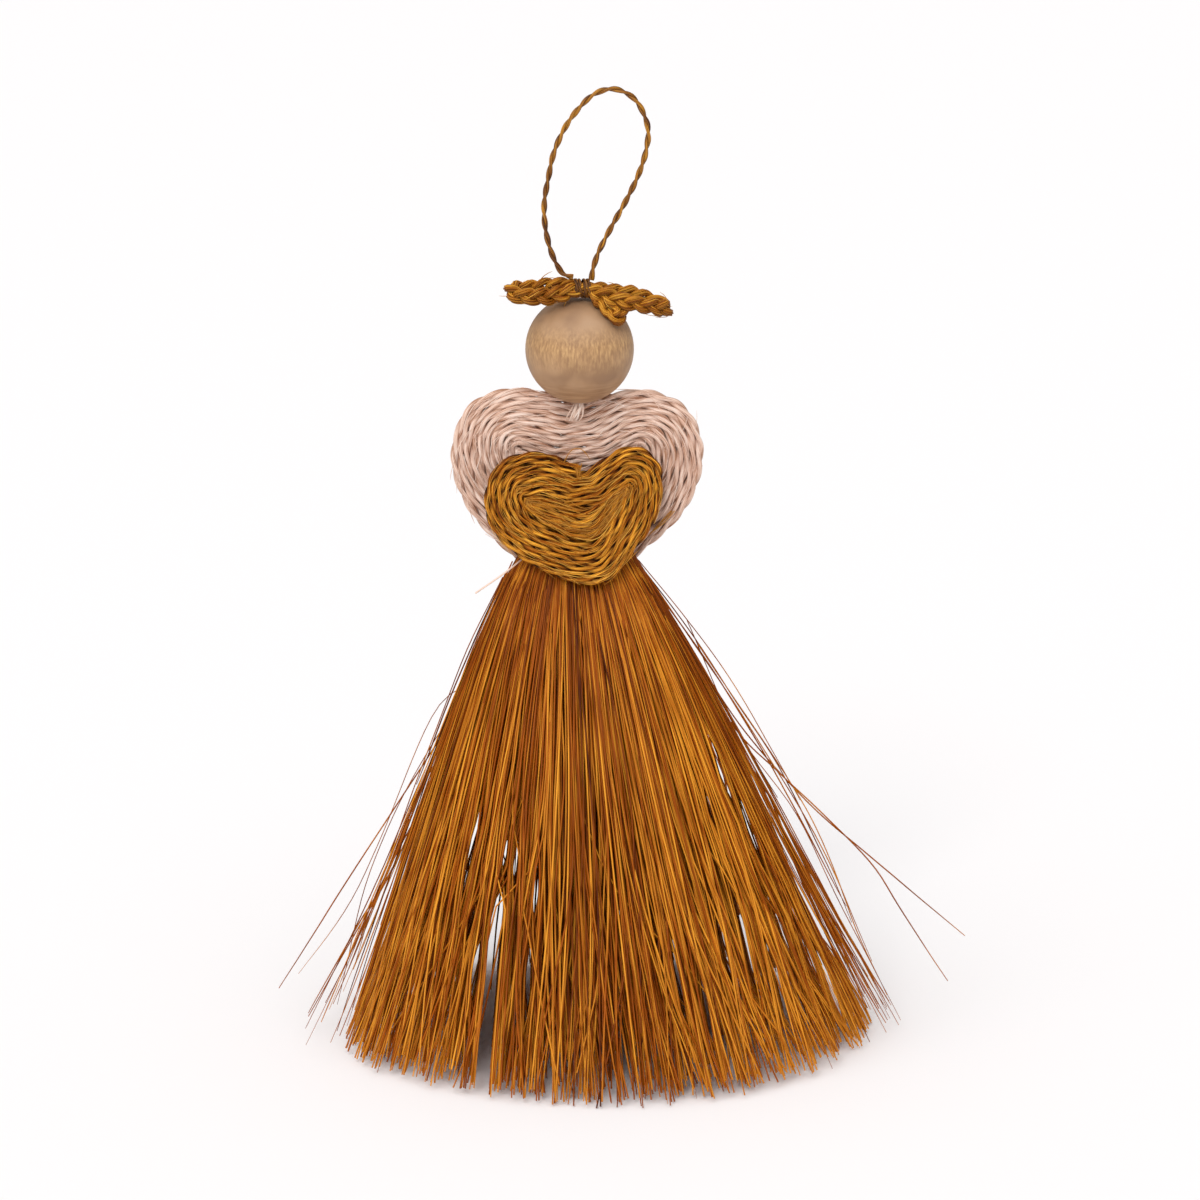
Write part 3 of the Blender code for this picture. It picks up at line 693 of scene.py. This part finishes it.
def makeFrays(name, settings, material, count, radius):
    # fine fibres that have worked loose from the twine: they follow its rows, a little off them
    rng = np.random.default_rng(settings["seed"] + 40)
    place = heartPlane(settings)
    half = settings["width"] / 2
    spiral, folded = heartCoil(settings, rng, 0.0)
    lines = []
    for _ in range(count):
        row = spiral if rng.random() < 0.72 else folded
        span = int(rng.uniform(0.003, 0.009) / half / 0.02)
        start = int(rng.integers(0, max(1, len(row) - span - 1)))
        flat = row[start:start + span + 1].copy()
        if len(flat) < 4:
            continue
        ahead = np.gradient(flat, axis=0)
        ahead /= np.linalg.norm(ahead, axis=1)[:, None] + 1e-9
        side = np.stack([-ahead[:, 1], ahead[:, 0]], axis=1)
        across = np.linspace(rng.normal(0.0, 0.020), rng.normal(0.0, 0.034), len(flat))
        flat = flat + side * across[:, None]
        rise = np.sin(np.linspace(0.0, math.pi, len(flat))) * abs(rng.normal(0.0, 0.00022))
        rise = rise + np.linspace(0.0, abs(rng.normal(0.0, 0.00018)), len(flat))
        lines.append(place(flat, 0.00020 - rise))
    tones = np.clip(rng.normal(0.55, 0.25, len(lines)), 0.0, 1.0)
    piece = fibres(name, lines, tones, radius * rng.uniform(0.6, 1.3, len(lines)), {
        "Wave": 0.00025, "Wave scale": 400.0, "Sides": 4, "Tip share": 0.3, "Seed": 3, "Material": material,
    })
    return piece


def makeLooseEnds():
    # single fibres beside the golden heart: an arch over its notch, knots of the tie, and a pale end
    arch = [(-10.7, -1.5, 109.5), (-9.6, -1.9, 111.6), (-8.3, -2.0, 112.3), (-7.0, -1.9, 111.7), (-5.9, -1.5, 110.1)]
    pale = [(-17.5, -1.0, 92.0), (-20.2, -4.5, 90.5), (-23.5, -5.6, 88.3), (-27.0, -5.8, 85.9)]
    ties = [[(x - 0.2, -0.6, 109.1), (x + slant / 2, -1.9, 108.3), (x + slant, -2.35, 106.6)]
            for x, slant in ((-9.0, 0.9), (-8.5, 0.3), (-7.9, -0.4), (-7.2, -0.9), (-8.2, 0.8))]
    stains = [[(9.3 + shift, 2.7, 99.4), (7.2 + shift, 2.8, 97.0), (5.0 + shift, 2.9, 94.8 + shift)]
              for shift in (-0.3, 0.0, 0.4)]
    golden = [smoothLine(np.array(route) * mm, 0.0004) for route in (arch, *ties, *stains)]
    widths = [0.00008, *[0.00009] * len(ties), *[0.00010] * len(stains)]
    tones = [0.45, 0.2, 0.5, 0.3, 0.45, 0.1, 0.5, 0.4, 0.6]
    piece = fibres("notchFibres", golden, tones, widths, {
        "Wave": 0.0002, "Wave scale": 300.0, "Sides": 5, "Tip share": 0.5, "Seed": 1, "Material": goldFray,
    })
    finishPiece(piece, ["body_heart"])
    piece = fibres("paleEnd", [smoothLine(np.array(pale) * mm, 0.0006)], [0.4], [0.00016], {
        "Wave": 0.0005, "Wave scale": 120.0, "Sides": 6, "Tip share": 1.0, "Seed": 2, "Material": paleFibre,
    })
    finishPiece(piece, ["wing_heart"])


makeLooseEnds()
wings = makeHeart(wingSettings, paleTwine)
finishPiece(wings, ["wing_heart"])
body = makeHeart(bodySettings, goldTwine)
finishPiece(body, ["body_heart"])
finishPiece(makeFrays("wingFrays", wingSettings, paleFibre, 420, 0.000055), ["wing_heart"])
finishPiece(makeFrays("bodyFrays", bodySettings, goldFray, 420, 0.000055), ["body_heart"])


# bead

beadSettings = {"boreRadius": 0.0016, "edge": 0.0003, "rings": 40, "sides": 96}


def makeBead():
    low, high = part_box("head_bead")
    centre = (low + high) / 2
    radius = (high.x - low.x) / 2
    bore, edge = beadSettings["boreRadius"], beadSettings["edge"]
    start = math.asin((bore + edge) / radius)
    profile = []
    for k in range(beadSettings["rings"] + 1):
        angle = start + (math.pi - 2 * start) * k / beadSettings["rings"]
        profile.append((radius * math.sin(angle), radius * math.cos(angle)))
    top = profile[0][1]
    for turn in (0.25, 0.6, 1.0):
        drop = edge * turn
        profile.insert(0, (bore + edge * (1 - turn), top - drop * turn))
        profile.append((bore + edge * (1 - turn), -(top - drop * turn)))
    bm = bmesh.new()
    verts = [bm.verts.new((centre.x + r, centre.y, centre.z + h)) for r, h in profile]
    edges = [bm.edges.new(pair) for pair in zip(verts, verts[1:])]
    edges.append(bm.edges.new((verts[-1], verts[0])))
    bmesh.ops.spin(bm, geom=[*verts, *edges], cent=centre, axis=(0, 0, 1), angle=math.tau,
                   steps=beadSettings["sides"], use_merge=True)
    bmesh.ops.remove_doubles(bm, verts=bm.verts, dist=1e-6)
    bmesh.ops.recalc_face_normals(bm, faces=bm.faces)
    mesh = bpy.data.meshes.new("headBead")
    bm.to_mesh(mesh)
    bm.free()
    mesh.shade_smooth()
    bead = bpy.data.objects.new("headBead", mesh)
    bpy.context.scene.collection.objects.link(bead)
    mesh.materials.append(makeBeadMaterial(centre))
    finishPiece(bead, ["head_bead"])
    return centre, radius


beadCentre, beadRadius = makeBead()


# neck tie

tieSettings = {"strands": 11, "radius": 0.00014}


def makeNeckTie():
    # a twisted core in the bead's bore, and strands that wrap over the notch of the pale heart
    low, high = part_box("neck_tie")
    x, y = (low.x + high.x) / 2, (low.y + high.y) / 2
    core = np.array([(x, y, low.z + 0.0012), (x, y, high.z)])
    parts = [twine("tieCore", [evenly(core, 0.0006)], {
        "Plies": 3, "Ply radius": 0.00042, "Twist radius": 0.00040, "Twist length": 0.006, "Sides": 8,
        "Plane normal": (0.0, -1.0, 0.0), "Unevenness": 0.1, "Seed": 2, "Material": paleTwine,
    })]
    lines, tones, widths = [], [], []
    rng = np.random.default_rng(17)
    beadFoot = beadCentre.z - beadRadius
    for k in range(tieSettings["strands"]):
        spread = k / (tieSettings["strands"] - 1) - 0.5
        lean = rng.normal(0.0, 0.0003)
        start = (x + 0.0002 + spread * 0.0014, y - 0.0002, beadFoot + 0.0010)
        front = (x - 0.0001 + spread * 0.0020 + lean, y - 0.00135, beadFoot - 0.0006)
        down = (x - 0.0006 + spread * 0.0022 + lean * 2, y - 0.0008, beadFoot - 0.0024)
        tuck = (x - 0.0011 + spread * 0.0017 + lean * 2, y + 0.0008, beadFoot - 0.0036)
        lines.append(smoothLine([start, front, down, tuck], 0.0003))
        tones.append(rng.uniform(0.2, 0.8))
        widths.append(tieSettings["radius"] * rng.uniform(0.7, 1.3))
    parts.append(fibres("tieWraps", lines, tones, widths, {
        "Wave": 0.0001, "Sides": 6, "Tip share": 0.8, "Seed": 4, "Material": paleFibre,
    }))
    tie = joined("neckTie", parts)
    finishPiece(tie, ["neck_tie"])


makeNeckTie()


# bow

bowSettings = {
    "middle": (-0.0072, -0.0030, 0.14228),
    "width": 0.0031,
    "thickness": 0.0011,
    "strandRadius": 0.00023,
    "strandSpread": 0.00050,
    "whiskers": 70,
    "crossings": 0.0084,      # length of one strand's whole swing from side to side and back
    "leftMm": [
        (0.0, -0.6, 0.0), (-2.0, -1.2, -0.3), (-5.0, -1.9, -0.9), (-8.6, -2.3, -1.2), (-11.8, -1.7, -1.0),
        (-13.2, 0.0, -0.6), (-11.8, 1.6, -0.5), (-8.6, 2.4, -0.5), (-5.0, 1.8, 0.0), (-2.0, 1.0, 0.3), (0.0, 0.5, 0.0),
    ],
    "rightMm": [
        (0.0, -0.6, 0.0), (2.0, -1.0, -0.6), (5.0, -1.8, -1.4), (8.5, -2.4, -2.1), (12.6, -2.0, -3.0),
        (15.3, -0.2, -3.6), (12.6, 1.7, -2.8), (8.5, 2.2, -1.5), (5.0, 1.7, -0.8), (2.0, 0.9, -0.2), (0.0, 0.5, 0.0),
    ],
    "tail": [(0.34, -0.38, 0.87), (0.47, -0.46, 0.76), (0.57, -0.53, 0.62), (0.62, -0.46, 0.64), (0.56, -0.33, 0.76)],
}


def plait(route, facing, rng):
    # three strands that cross in turn; facing gives the thin side's way at each place
    line = smoothLine(route, 0.0003)
    lengths = lineLengths(line)
    ahead = np.gradient(line, axis=0)
    ahead /= np.linalg.norm(ahead, axis=1)[:, None]
    thin = facing(line, ahead)
    wide = np.cross(thin, ahead)
    middle = np.array(bowSettings["middle"])
    openShare = np.clip(np.linalg.norm(line - middle, axis=1) / 0.0042, 0.0, 1.0)[:, None]
    openShare = openShare * openShare * (3 - 2 * openShare)
    across = (bowSettings["width"] / 2 - 0.00055) * (0.45 + 0.55 * openShare)
    deep = (bowSettings["thickness"] / 2) * (0.5 + 0.5 * openShare)
    across = across * (1.0 + 0.15 * slowNoise(rng, len(line), len(line) // 14 + 2)[:, None])
    strands = []
    for k in range(3):
        angle = (math.tau * (lengths / bowSettings["crossings"] + k / 3))[:, None]
        jitter = 1.0 + 0.12 * slowNoise(rng, len(line), len(line) // 8 + 2)[:, None]
        strands.append(line + wide * across * np.sin(angle) * jitter + thin * deep * np.sin(2 * angle) * jitter)
    return strands


def makeBow():
    rng = np.random.default_rng(21)
    middle = np.array(bowSettings["middle"])
    bead = np.array(beadCentre)

    def level(line, ahead):
        side = np.cross(ahead, (0.0, 0.0, 1.0))
        return side / np.linalg.norm(side, axis=1)[:, None]

    def offBead(line, ahead):
        away = line - bead
        away -= ahead * (away * ahead).sum(1)[:, None]
        return away / np.linalg.norm(away, axis=1)[:, None]

    left = middle + np.array(bowSettings["leftMm"]) * mm
    right = middle + np.array(bowSettings["rightMm"]) * mm
    directions = np.array(bowSettings["tail"])
    directions /= np.linalg.norm(directions, axis=1)[:, None]
    lift = np.array([0.0010, 0.0010, 0.0010, 0.0022, 0.0026])
    tail = np.vstack([middle[None], middle + (0.0011, -0.0003, 0.0), bead + directions * (beadRadius + lift)[:, None]])
    lines = []
    for line in (*plait(left, level, rng), *plait(right, level, rng), *plait(tail, offBead, rng)):
        # the plait rests on the bead
        away = line - bead
        distance = np.linalg.norm(away, axis=1)[:, None]
        lines.append(bead + away * np.maximum(1.0, (beadRadius + 0.0009) / distance))
    strands = twine("bowStrands", lines, {
        "Plies": 7, "Ply radius": bowSettings["strandRadius"], "Twist radius": bowSettings["strandSpread"],
        "Twist length": 0.022, "Plane normal": (0.0, 0.0, 1.0), "Sides": 6, "Unevenness": 0.30, "Seed": 9,
        "Material": bowTwine,
    })
    finishPiece(strands, ["bow"])
    whiskers = []
    for _ in range(bowSettings["whiskers"]):
        line = lines[int(rng.integers(0, 6))]
        start = int(rng.integers(4, len(line) - 24))
        piece = line[start:start + int(rng.integers(8, 20))].copy()
        grow = np.linspace(0.3, 1.0, len(piece))[:, None] ** 1.6
        piece += grow * rng.normal(0.0, 1.0, 3) * 0.0009 + (0.0, -0.0004, 0.0)
        whiskers.append(piece)
    tones = np.clip(rng.normal(0.6, 0.2, len(whiskers)), 0.0, 1.0)
    loose = fibres("bowWhiskers", whiskers, tones, rng.uniform(0.00004, 0.00008, len(whiskers)), {
        "Wave": 0.0003, "Wave scale": 300.0, "Sides": 4, "Tip share": 0.4, "Seed": 2, "Material": goldFray,
    })
    finishPiece(loose, ["bow"])


makeBow()

bindingSettings = {"turns": 4, "width": 0.0030, "radius": 0.00150, "threadRadius": 0.00022}


def makeBinding():
    # thread wound round the bow's waist
    middle = np.array(bowSettings["middle"])
    turns = np.linspace(0.0, 1.0, 26 * bindingSettings["turns"])
    angle = turns * math.tau * bindingSettings["turns"]
    rng = np.random.default_rng(4)
    radius = bindingSettings["radius"] * (1.0 + 0.10 * slowNoise(rng, len(turns), 18))
    line = np.stack([
        (turns - 0.5) * bindingSettings["width"] + 0.0002 * slowNoise(rng, len(turns), 16),
        radius * 1.05 * np.cos(angle), radius * 0.95 * np.sin(angle),
    ], axis=1) + middle
    binding = twine("bowBinding", [evenly(line, 0.0003)], {
        "Plies": 2, "Ply radius": bindingSettings["threadRadius"], "Twist radius": 0.00020, "Twist length": 0.004,
        "Plane normal": (1.0, 0.0, 0.0), "Sides": 7, "Unevenness": 0.2, "Seed": 6, "Material": threadTwine,
    })
    finishPiece(binding, ["bow_binding"])


makeBinding()
print("bow tied")


# skirt

skirtSettings = {
    "count": 2500,
    "gatherZ": 0.1015,
    "gatherHalfWidth": 0.0062,
    "waistZ": 0.0910,
    "waistHalfWidth": 0.0110,
    "waistHalfDepth": 0.0040,
    "hemHalfWidth": 0.0497,
    "hemX": -0.0023,
    "hemHalfDepth": 0.0476,
    "flare": 0.845,
    "slack": 0.045,            # how far the fibres fall short of the full width half way down
    "neckX": -0.0085,
    "bodyTipZ": 0.0863,        # in front the skirt opens below the golden heart's tip
    "wingsTipZ": 0.0818,
    "locks": 95,
    "lockPull": 0.60,
    "cornerLift": 0.0012,       # ends of the fibres between the front and the sides
    "leftForward": 0.0100,      # the left corner of the hem stands forward
    "ragged": 0.0017,
    "fibreRadius": 0.000165,
    "points": 18,
    # partings that show the floor: x at the foot, lean (x gained for each unit of height), low, high, half width
    "partings": [
        (-0.0252, 0.09, -0.0220, 0.0330, 0.00125), (-0.0282, 0.08, 0.0030, 0.0230, 0.00060),
        (-0.0390, 0.31, 0.0250, 0.0490, 0.00042), (-0.0250, 0.10, 0.0280, 0.0430, 0.00042),
        (-0.0176, 0.06, 0.0170, 0.0390, 0.00040), (-0.0378, 0.44, 0.0150, 0.0310, 0.00040),
        (-0.0213, 0.05, 0.0240, 0.0430, 0.00042), (-0.0178, 0.05, 0.0020, 0.0240, 0.00055),
        (0.0314, -0.26, 0.0410, 0.0620, 0.00042), (0.0336, -0.25, 0.0290, 0.0490, 0.00050),
        (0.0372, -0.30, 0.0250, 0.0420, 0.00045), (0.0116, -0.12, 0.0020, 0.0240, 0.00046),
        (0.0215, -0.16, 0.0060, 0.0300, 0.00046), (0.0374, -0.23, 0.0040, 0.0350, 0.00055),
        (0.0420, -0.33, 0.0130, 0.0520, 0.00050), (-0.0290, 0.16, 0.0440, 0.0580, 0.00030),
        (0.0455, -0.38, 0.0060, 0.0440, 0.00050), (0.0262, -0.19, 0.0020, 0.0340, 0.00048),
        (0.0310, -0.21, -0.0040, 0.0240, 0.00048), (0.0165, -0.14, -0.0060, 0.0180, 0.00040),
        (0.0345, -0.25, 0.0060, 0.0290, 0.00045), (0.0410, -0.30, -0.0020, 0.0220, 0.00060),
        (0.0250, -0.20, 0.0360, 0.0520, 0.00036), (-0.0330, 0.20, 0.0040, 0.0200, 0.00036),
    ],
    "sidePaintedLight": (0.28, 0.68),   # painted light: the fibres at the left and right sides are this much paler than the middle
    "acrossPartings": 0.04,    # share of the fibres that lie across a parting
}


def skirtPlace(z, angle, reach):
    # where a fibre is at a height, from its angle round the skirt and its share of the width
    s = skirtSettings
    drop = np.clip((s["waistZ"] - z) / s["waistZ"], 0.0, 1.0)
    rise = np.clip((z - s["waistZ"]) / (s["gatherZ"] - s["waistZ"]), 0.0, 1.0)
    halfWidth = s["waistHalfWidth"] + (s["hemHalfWidth"] - s["waistHalfWidth"]) * drop ** s["flare"]
    halfWidth = halfWidth + (s["gatherHalfWidth"] - s["waistHalfWidth"]) * rise
    open_ = s["hemHalfDepth"] - s["waistHalfDepth"]
    front = s["waistHalfDepth"] + open_ * np.clip(1 - z / s["bodyTipZ"], 0, 1) ** s["flare"]
    front = front - np.clip(z - s["bodyTipZ"], 0, 1) * math.tan(abs(bodySettings["lean"]))
    back = s["waistHalfDepth"] + open_ * np.clip(1 - z / s["wingsTipZ"], 0, 1) ** s["flare"]
    back = back - np.clip(z - s["wingsTipZ"], 0, 1) * math.tan(wingSettings["lean"])
    middle = s["neckX"] * (1.0 - drop) + s["hemX"] * drop
    halfDepth = (front + back) / 2
    y = (back - front) / 2 + halfDepth * reach * np.sin(angle)
    y = y - s["leftForward"] * np.clip(-np.cos(angle), 0, 1) ** 4 * drop ** 1.5 * reach
    return np.stack([middle + halfWidth * reach * np.cos(angle), y, z], axis=-1)


def part(line, rng):
    # moves a fibre's points out of the partings, which run back through the skirt, away from the viewer
    tilt = math.radians(studio["elevation"])
    height = line[:, 2] + line[:, 1] * math.tan(tilt)
    middle = studio["lookAt"][0]
    deeper = line[:, 1] * math.cos(tilt) - (line[:, 2] - studio["lookAt"][2]) * math.sin(tilt)
    seen = middle + (line[:, 0] - middle) * studio["distance"] / (studio["distance"] + deeper)
    for foot, lean, low, high, half in skirtSettings["partings"]:
        if rng.random() < skirtSettings["acrossPartings"]:
            continue
        off = seen - (foot + lean * height)
        inside = np.clip((height - low) / 0.007, 0, 1) * np.clip((high - height) / 0.009, 0, 1)
        inside = inside * inside * (3 - 2 * inside)
        if inside.max() == 0.0 or np.abs(off).min() > 0.003:
            continue
        side = -1.0 if (off * inside).sum() < 0.0 else 1.0
        clear = half + skirtSettings["fibreRadius"]
        pushed = np.sqrt(np.maximum(off * side, 0.0) ** 2 + clear**2)
        moved = side * (pushed - off * side) * inside
        line[:, 0] += moved
        seen = seen + moved
    return line


def skirtFibre(rng, locks, reach):
    # a fibre leans towards its lock's middle on the way down, and some drift across others
    s = skirtSettings
    angle = rng.uniform(0.0, math.tau)
    lock = int(np.argmin(np.abs((locks["angle"] - angle + math.pi) % math.tau - math.pi)))
    if rng.random() < 0.25:
        lock = (lock + int(rng.integers(-1, 2))) % s["locks"]
    off = (angle - locks["angle"][lock] + math.pi) % math.tau - math.pi
    down = np.linspace(0.0, 1.0, s["points"]) ** 1.1
    bell = np.sin(down * math.pi * 0.82) ** 1.3
    wander = rng.normal(0.0, 0.068)
    curve = rng.normal(0.0, 0.048)
    if rng.random() < 0.12:
        wander *= 3.0
        curve *= 3.0
    pull = s["lockPull"] * rng.uniform(0.3, 1.2)
    angles = locks["angle"][lock] + off * (1.0 - pull * bell) + (locks["drift"][lock] + wander) * down
    angles = angles + curve * np.sin(down * math.pi * 1.2)
    reaches = reach * (1.0 + (locks["reach"][lock] - s["slack"] + rng.normal(0.0, 0.02)) * np.sin(down * math.pi))
    end = s["cornerLift"] * math.sin(2 * angles[-1]) ** 2 * reach + abs(rng.normal(0.0, s["ragged"]))
    if rng.random() < 0.07:
        end += rng.uniform(0.0, 0.014)
    start = s["gatherZ"] - rng.uniform(0.0, 0.0024) * reach
    z = start + (max(end, 0.0001) - start) * down
    line = skirtPlace(z, angles, reaches)
    for axis in (0, 1):
        waves = rng.uniform(0.8, 2.6)
        line[:, axis] += rng.normal(0.0, 0.00045) * down * np.sin(waves * math.tau * down + rng.uniform(0.0, math.tau))
    return part(line, rng), lock


def makeSkirt():
    rng = np.random.default_rng(12)
    s = skirtSettings
    locks = {
        "angle": (np.arange(s["locks"]) + rng.uniform(-0.35, 0.35, s["locks"])) / s["locks"] * math.tau,
        "drift": rng.normal(0.0, 0.04, s["locks"]),
        "reach": rng.normal(0.0, 0.02, s["locks"]),
        "tone": rng.normal(0.0, 0.07, s["locks"]),
    }
    reaches = np.sqrt(rng.uniform(0.0, 1.0, s["count"]))
    # the outside of the bundle is a little denser than its middle
    outside = rng.random(s["count"]) < 0.35
    reaches = np.where(outside, rng.uniform(0.86, 1.0, s["count"]), reaches)
    lines, owners = zip(*[skirtFibre(rng, locks, reach) for reach in reaches])
    sides = np.array([line[-1, 0] for line in lines]) / s["hemHalfWidth"]
    # painted light: tones grow paler towards the sides of the hem
    paler = np.where(sides < 0.0, -sides * s["sidePaintedLight"][0], sides * s["sidePaintedLight"][1])
    tones = rng.normal(0.5, 0.28, s["count"]) + paler + locks["tone"][list(owners)]
    tones = np.clip(tones, 0.0, 1.0)
    widths = s["fibreRadius"] * rng.uniform(0.70, 1.25, s["count"])
    third = s["count"] // 3
    for number, name in enumerate(("skirtFirst", "skirtSecond", "skirtThird")):
        chosen = slice(number * third, (number + 1) * third)
        piece = fibres(name, lines[chosen], tones[chosen], widths[chosen], {
            "Wave": 0.0002, "Wave scale": 90.0, "Sides": 5, "Tip share": 0.85, "Root share": 0.6,
            "Seed": number, "Material": goldFibre,
        })
        finishPiece(piece, ["skirt"])


makeSkirt()

strayMm = {
    "stray_fibre_right_high": [(2.0, -3.5, 92.0), (12.0, -4.0, 76.0), (22.2, -1.6, 59.2), (34.6, -1.0, 44.6),
                               (46.8, -0.9, 33.6), (64.4, -0.85, 18.4)],
    "stray_fibre_right_low": [(2.5, -3.6, 92.0), (11.0, -6.0, 77.0), (20.8, -4.8, 60.0), (28.9, -4.7, 51.5),
                              (37.4, -4.7, 43.3), (46.6, -4.7, 33.5), (51.8, -4.7, 25.2), (61.0, -4.7, 10.7)],
    "stray_fibre_left_high": [(-17.0, -2.0, 88.0), (-25.0, -1.5, 74.0), (-33.8, -0.9, 57.0), (-49.0, -0.8, 33.0),
                              (-64.5, -0.8, 8.0)],
    "stray_fibre_left_low": [(-18.0, -3.0, 87.0), (-26.5, -4.5, 70.0), (-36.0, -5.6, 49.0), (-42.6, -5.6, 33.0),
                             (-50.4, -5.6, 19.2), (-58.7, -5.6, 4.0)],
}


flyaways = [
    (0.0, 48, 0.15, 0.006), (math.pi, 18, 0.20, 0.010), (-math.pi / 2, 10, 0.06, 0.004),
    (math.pi / 2, 14, 0.10, 0.006), (math.pi, 10, 0.06, 0.004),
]

looseMm = [
    [(14.0, -5.0, 76.0), (34.6, -3.0, 43.1), (44.2, -3.0, 19.6), (49.8, -3.0, 7.2)],
    [(-22.0, -4.0, 70.0), (-37.0, -3.0, 48.8), (-42.4, -3.0, 32.8), (-50.3, -3.0, 19.1), (-58.8, -3.0, 3.6)],
    [(-24.0, 2.0, 68.0), (-34.6, 3.0, 61.4), (-45.7, 3.0, 35.3), (-52.4, 3.0, 22.0), (-61.0, 3.0, 10.0)],
    [(-21.0, -2.0, 75.0), (-34.0, -2.0, 50.0), (-46.0, -2.0, 27.0), (-56.6, -2.0, 2.0)],
    [(-20.0, 3.0, 76.0), (-35.5, 5.0, 54.0), (-47.0, 6.0, 30.0), (-54.0, 6.0, 2.5)],
    [(12.0, -3.0, 80.0), (21.0, -5.0, 60.0), (32.0, -5.0, 44.0), (41.0, -5.0, 26.0), (52.5, -5.0, 3.0)],
    [(-20.2, -2.0, 91.0), (-22.5, -2.5, 86.0), (-25.8, -3.0, 79.0), (-30.0, -3.0, 68.0), (-35.0, -3.0, 52.0)],
    [(2.6, -2.0, 91.0), (7.0, -2.5, 84.0), (13.0, -3.0, 74.0), (21.0, -3.0, 60.0), (29.0, -3.0, 46.0)],
    [(3.3, -2.0, 90.0), (6.0, -2.5, 86.5), (14.4, -3.0, 73.8), (22.6, -3.0, 61.4), (31.6, -3.0, 46.5), (40.0, -3.0, 30.5),
     (46.8, -3.0, 14.0)],
    [(3.2, -2.0, 90.0), (6.8, -3.0, 85.0), (16.2, -3.4, 71.6), (24.9, -3.6, 57.0), (33.4, -3.6, 42.0), (42.0, -3.6, 25.0)],
    [(3.0, -1.0, 91.0), (11.4, -1.0, 80.4), (19.6, -1.0, 69.0), (27.2, -1.0, 56.0), (33.4, -1.0, 45.0)],
    [(2.4, 0.0, 91.0), (12.2, 1.0, 77.4), (20.6, 2.0, 64.0), (29.6, 2.0, 50.0), (38.0, 2.0, 33.0), (43.4, 2.0, 20.0)],
    [(-22.0, -2.0, 88.0), (-28.6, -2.5, 74.4), (-34.4, -3.0, 59.1), (-39.4, -3.0, 45.8), (-44.6, -3.0, 30.5),
     (-50.0, -3.0, 14.0)],
    [(-21.4, -1.0, 88.6), (-26.8, -1.0, 77.0), (-33.2, -1.0, 61.0), (-38.0, -1.0, 48.0)],
]


def makeStrays():
    # the loose fibres that stand off the skirt: four long ones, and a scatter of shorter ones
    for node, route in strayMm.items():
        line = smoothLine(np.array(route) * mm, 0.002)
        piece = fibres(node.replace("_", "-"), [line], [0.45], [0.00014], {
            "Wave": 0.0004, "Sides": 5, "Tip share": 0.6, "Seed": 1, "Material": goldFibre,
        })
        finishPiece(piece, [node])
    rng = np.random.default_rng(31)
    lines = []
    down = np.linspace(0.0, 1.0, 16)
    # side (angle, how many, how far they stand off, how far their ends hang above the floor)
    for side, count, away, lift in flyaways:
        for _ in range(count):
            angle = side + rng.normal(0.0, 0.32)
            end = abs(rng.normal(0.0, lift)) + 0.001
            z = 0.094 + (end - 0.094) * down
            reach = 0.97 + away * rng.uniform(0.15, 1.0) * down ** rng.uniform(0.9, 2.2)
            angles = angle + rng.normal(0.0, 0.08) * down
            lines.append(skirtPlace(z, angles, reach))
    for route in looseMm:
        lines.append(smoothLine(np.array(route) * mm, 0.003))
    tones = np.clip(rng.normal(0.5, 0.2, len(lines)), 0, 1)
    piece = fibres("looseFlyaways", lines, tones, rng.uniform(0.00008, 0.00015, len(lines)), {
        "Wave": 0.0018, "Wave scale": 34.0, "Sides": 4, "Tip share": 0.5, "Seed": 5, "Material": goldFibre,
    })
    finishPiece(piece)


makeStrays()
print("skirt fanned out")
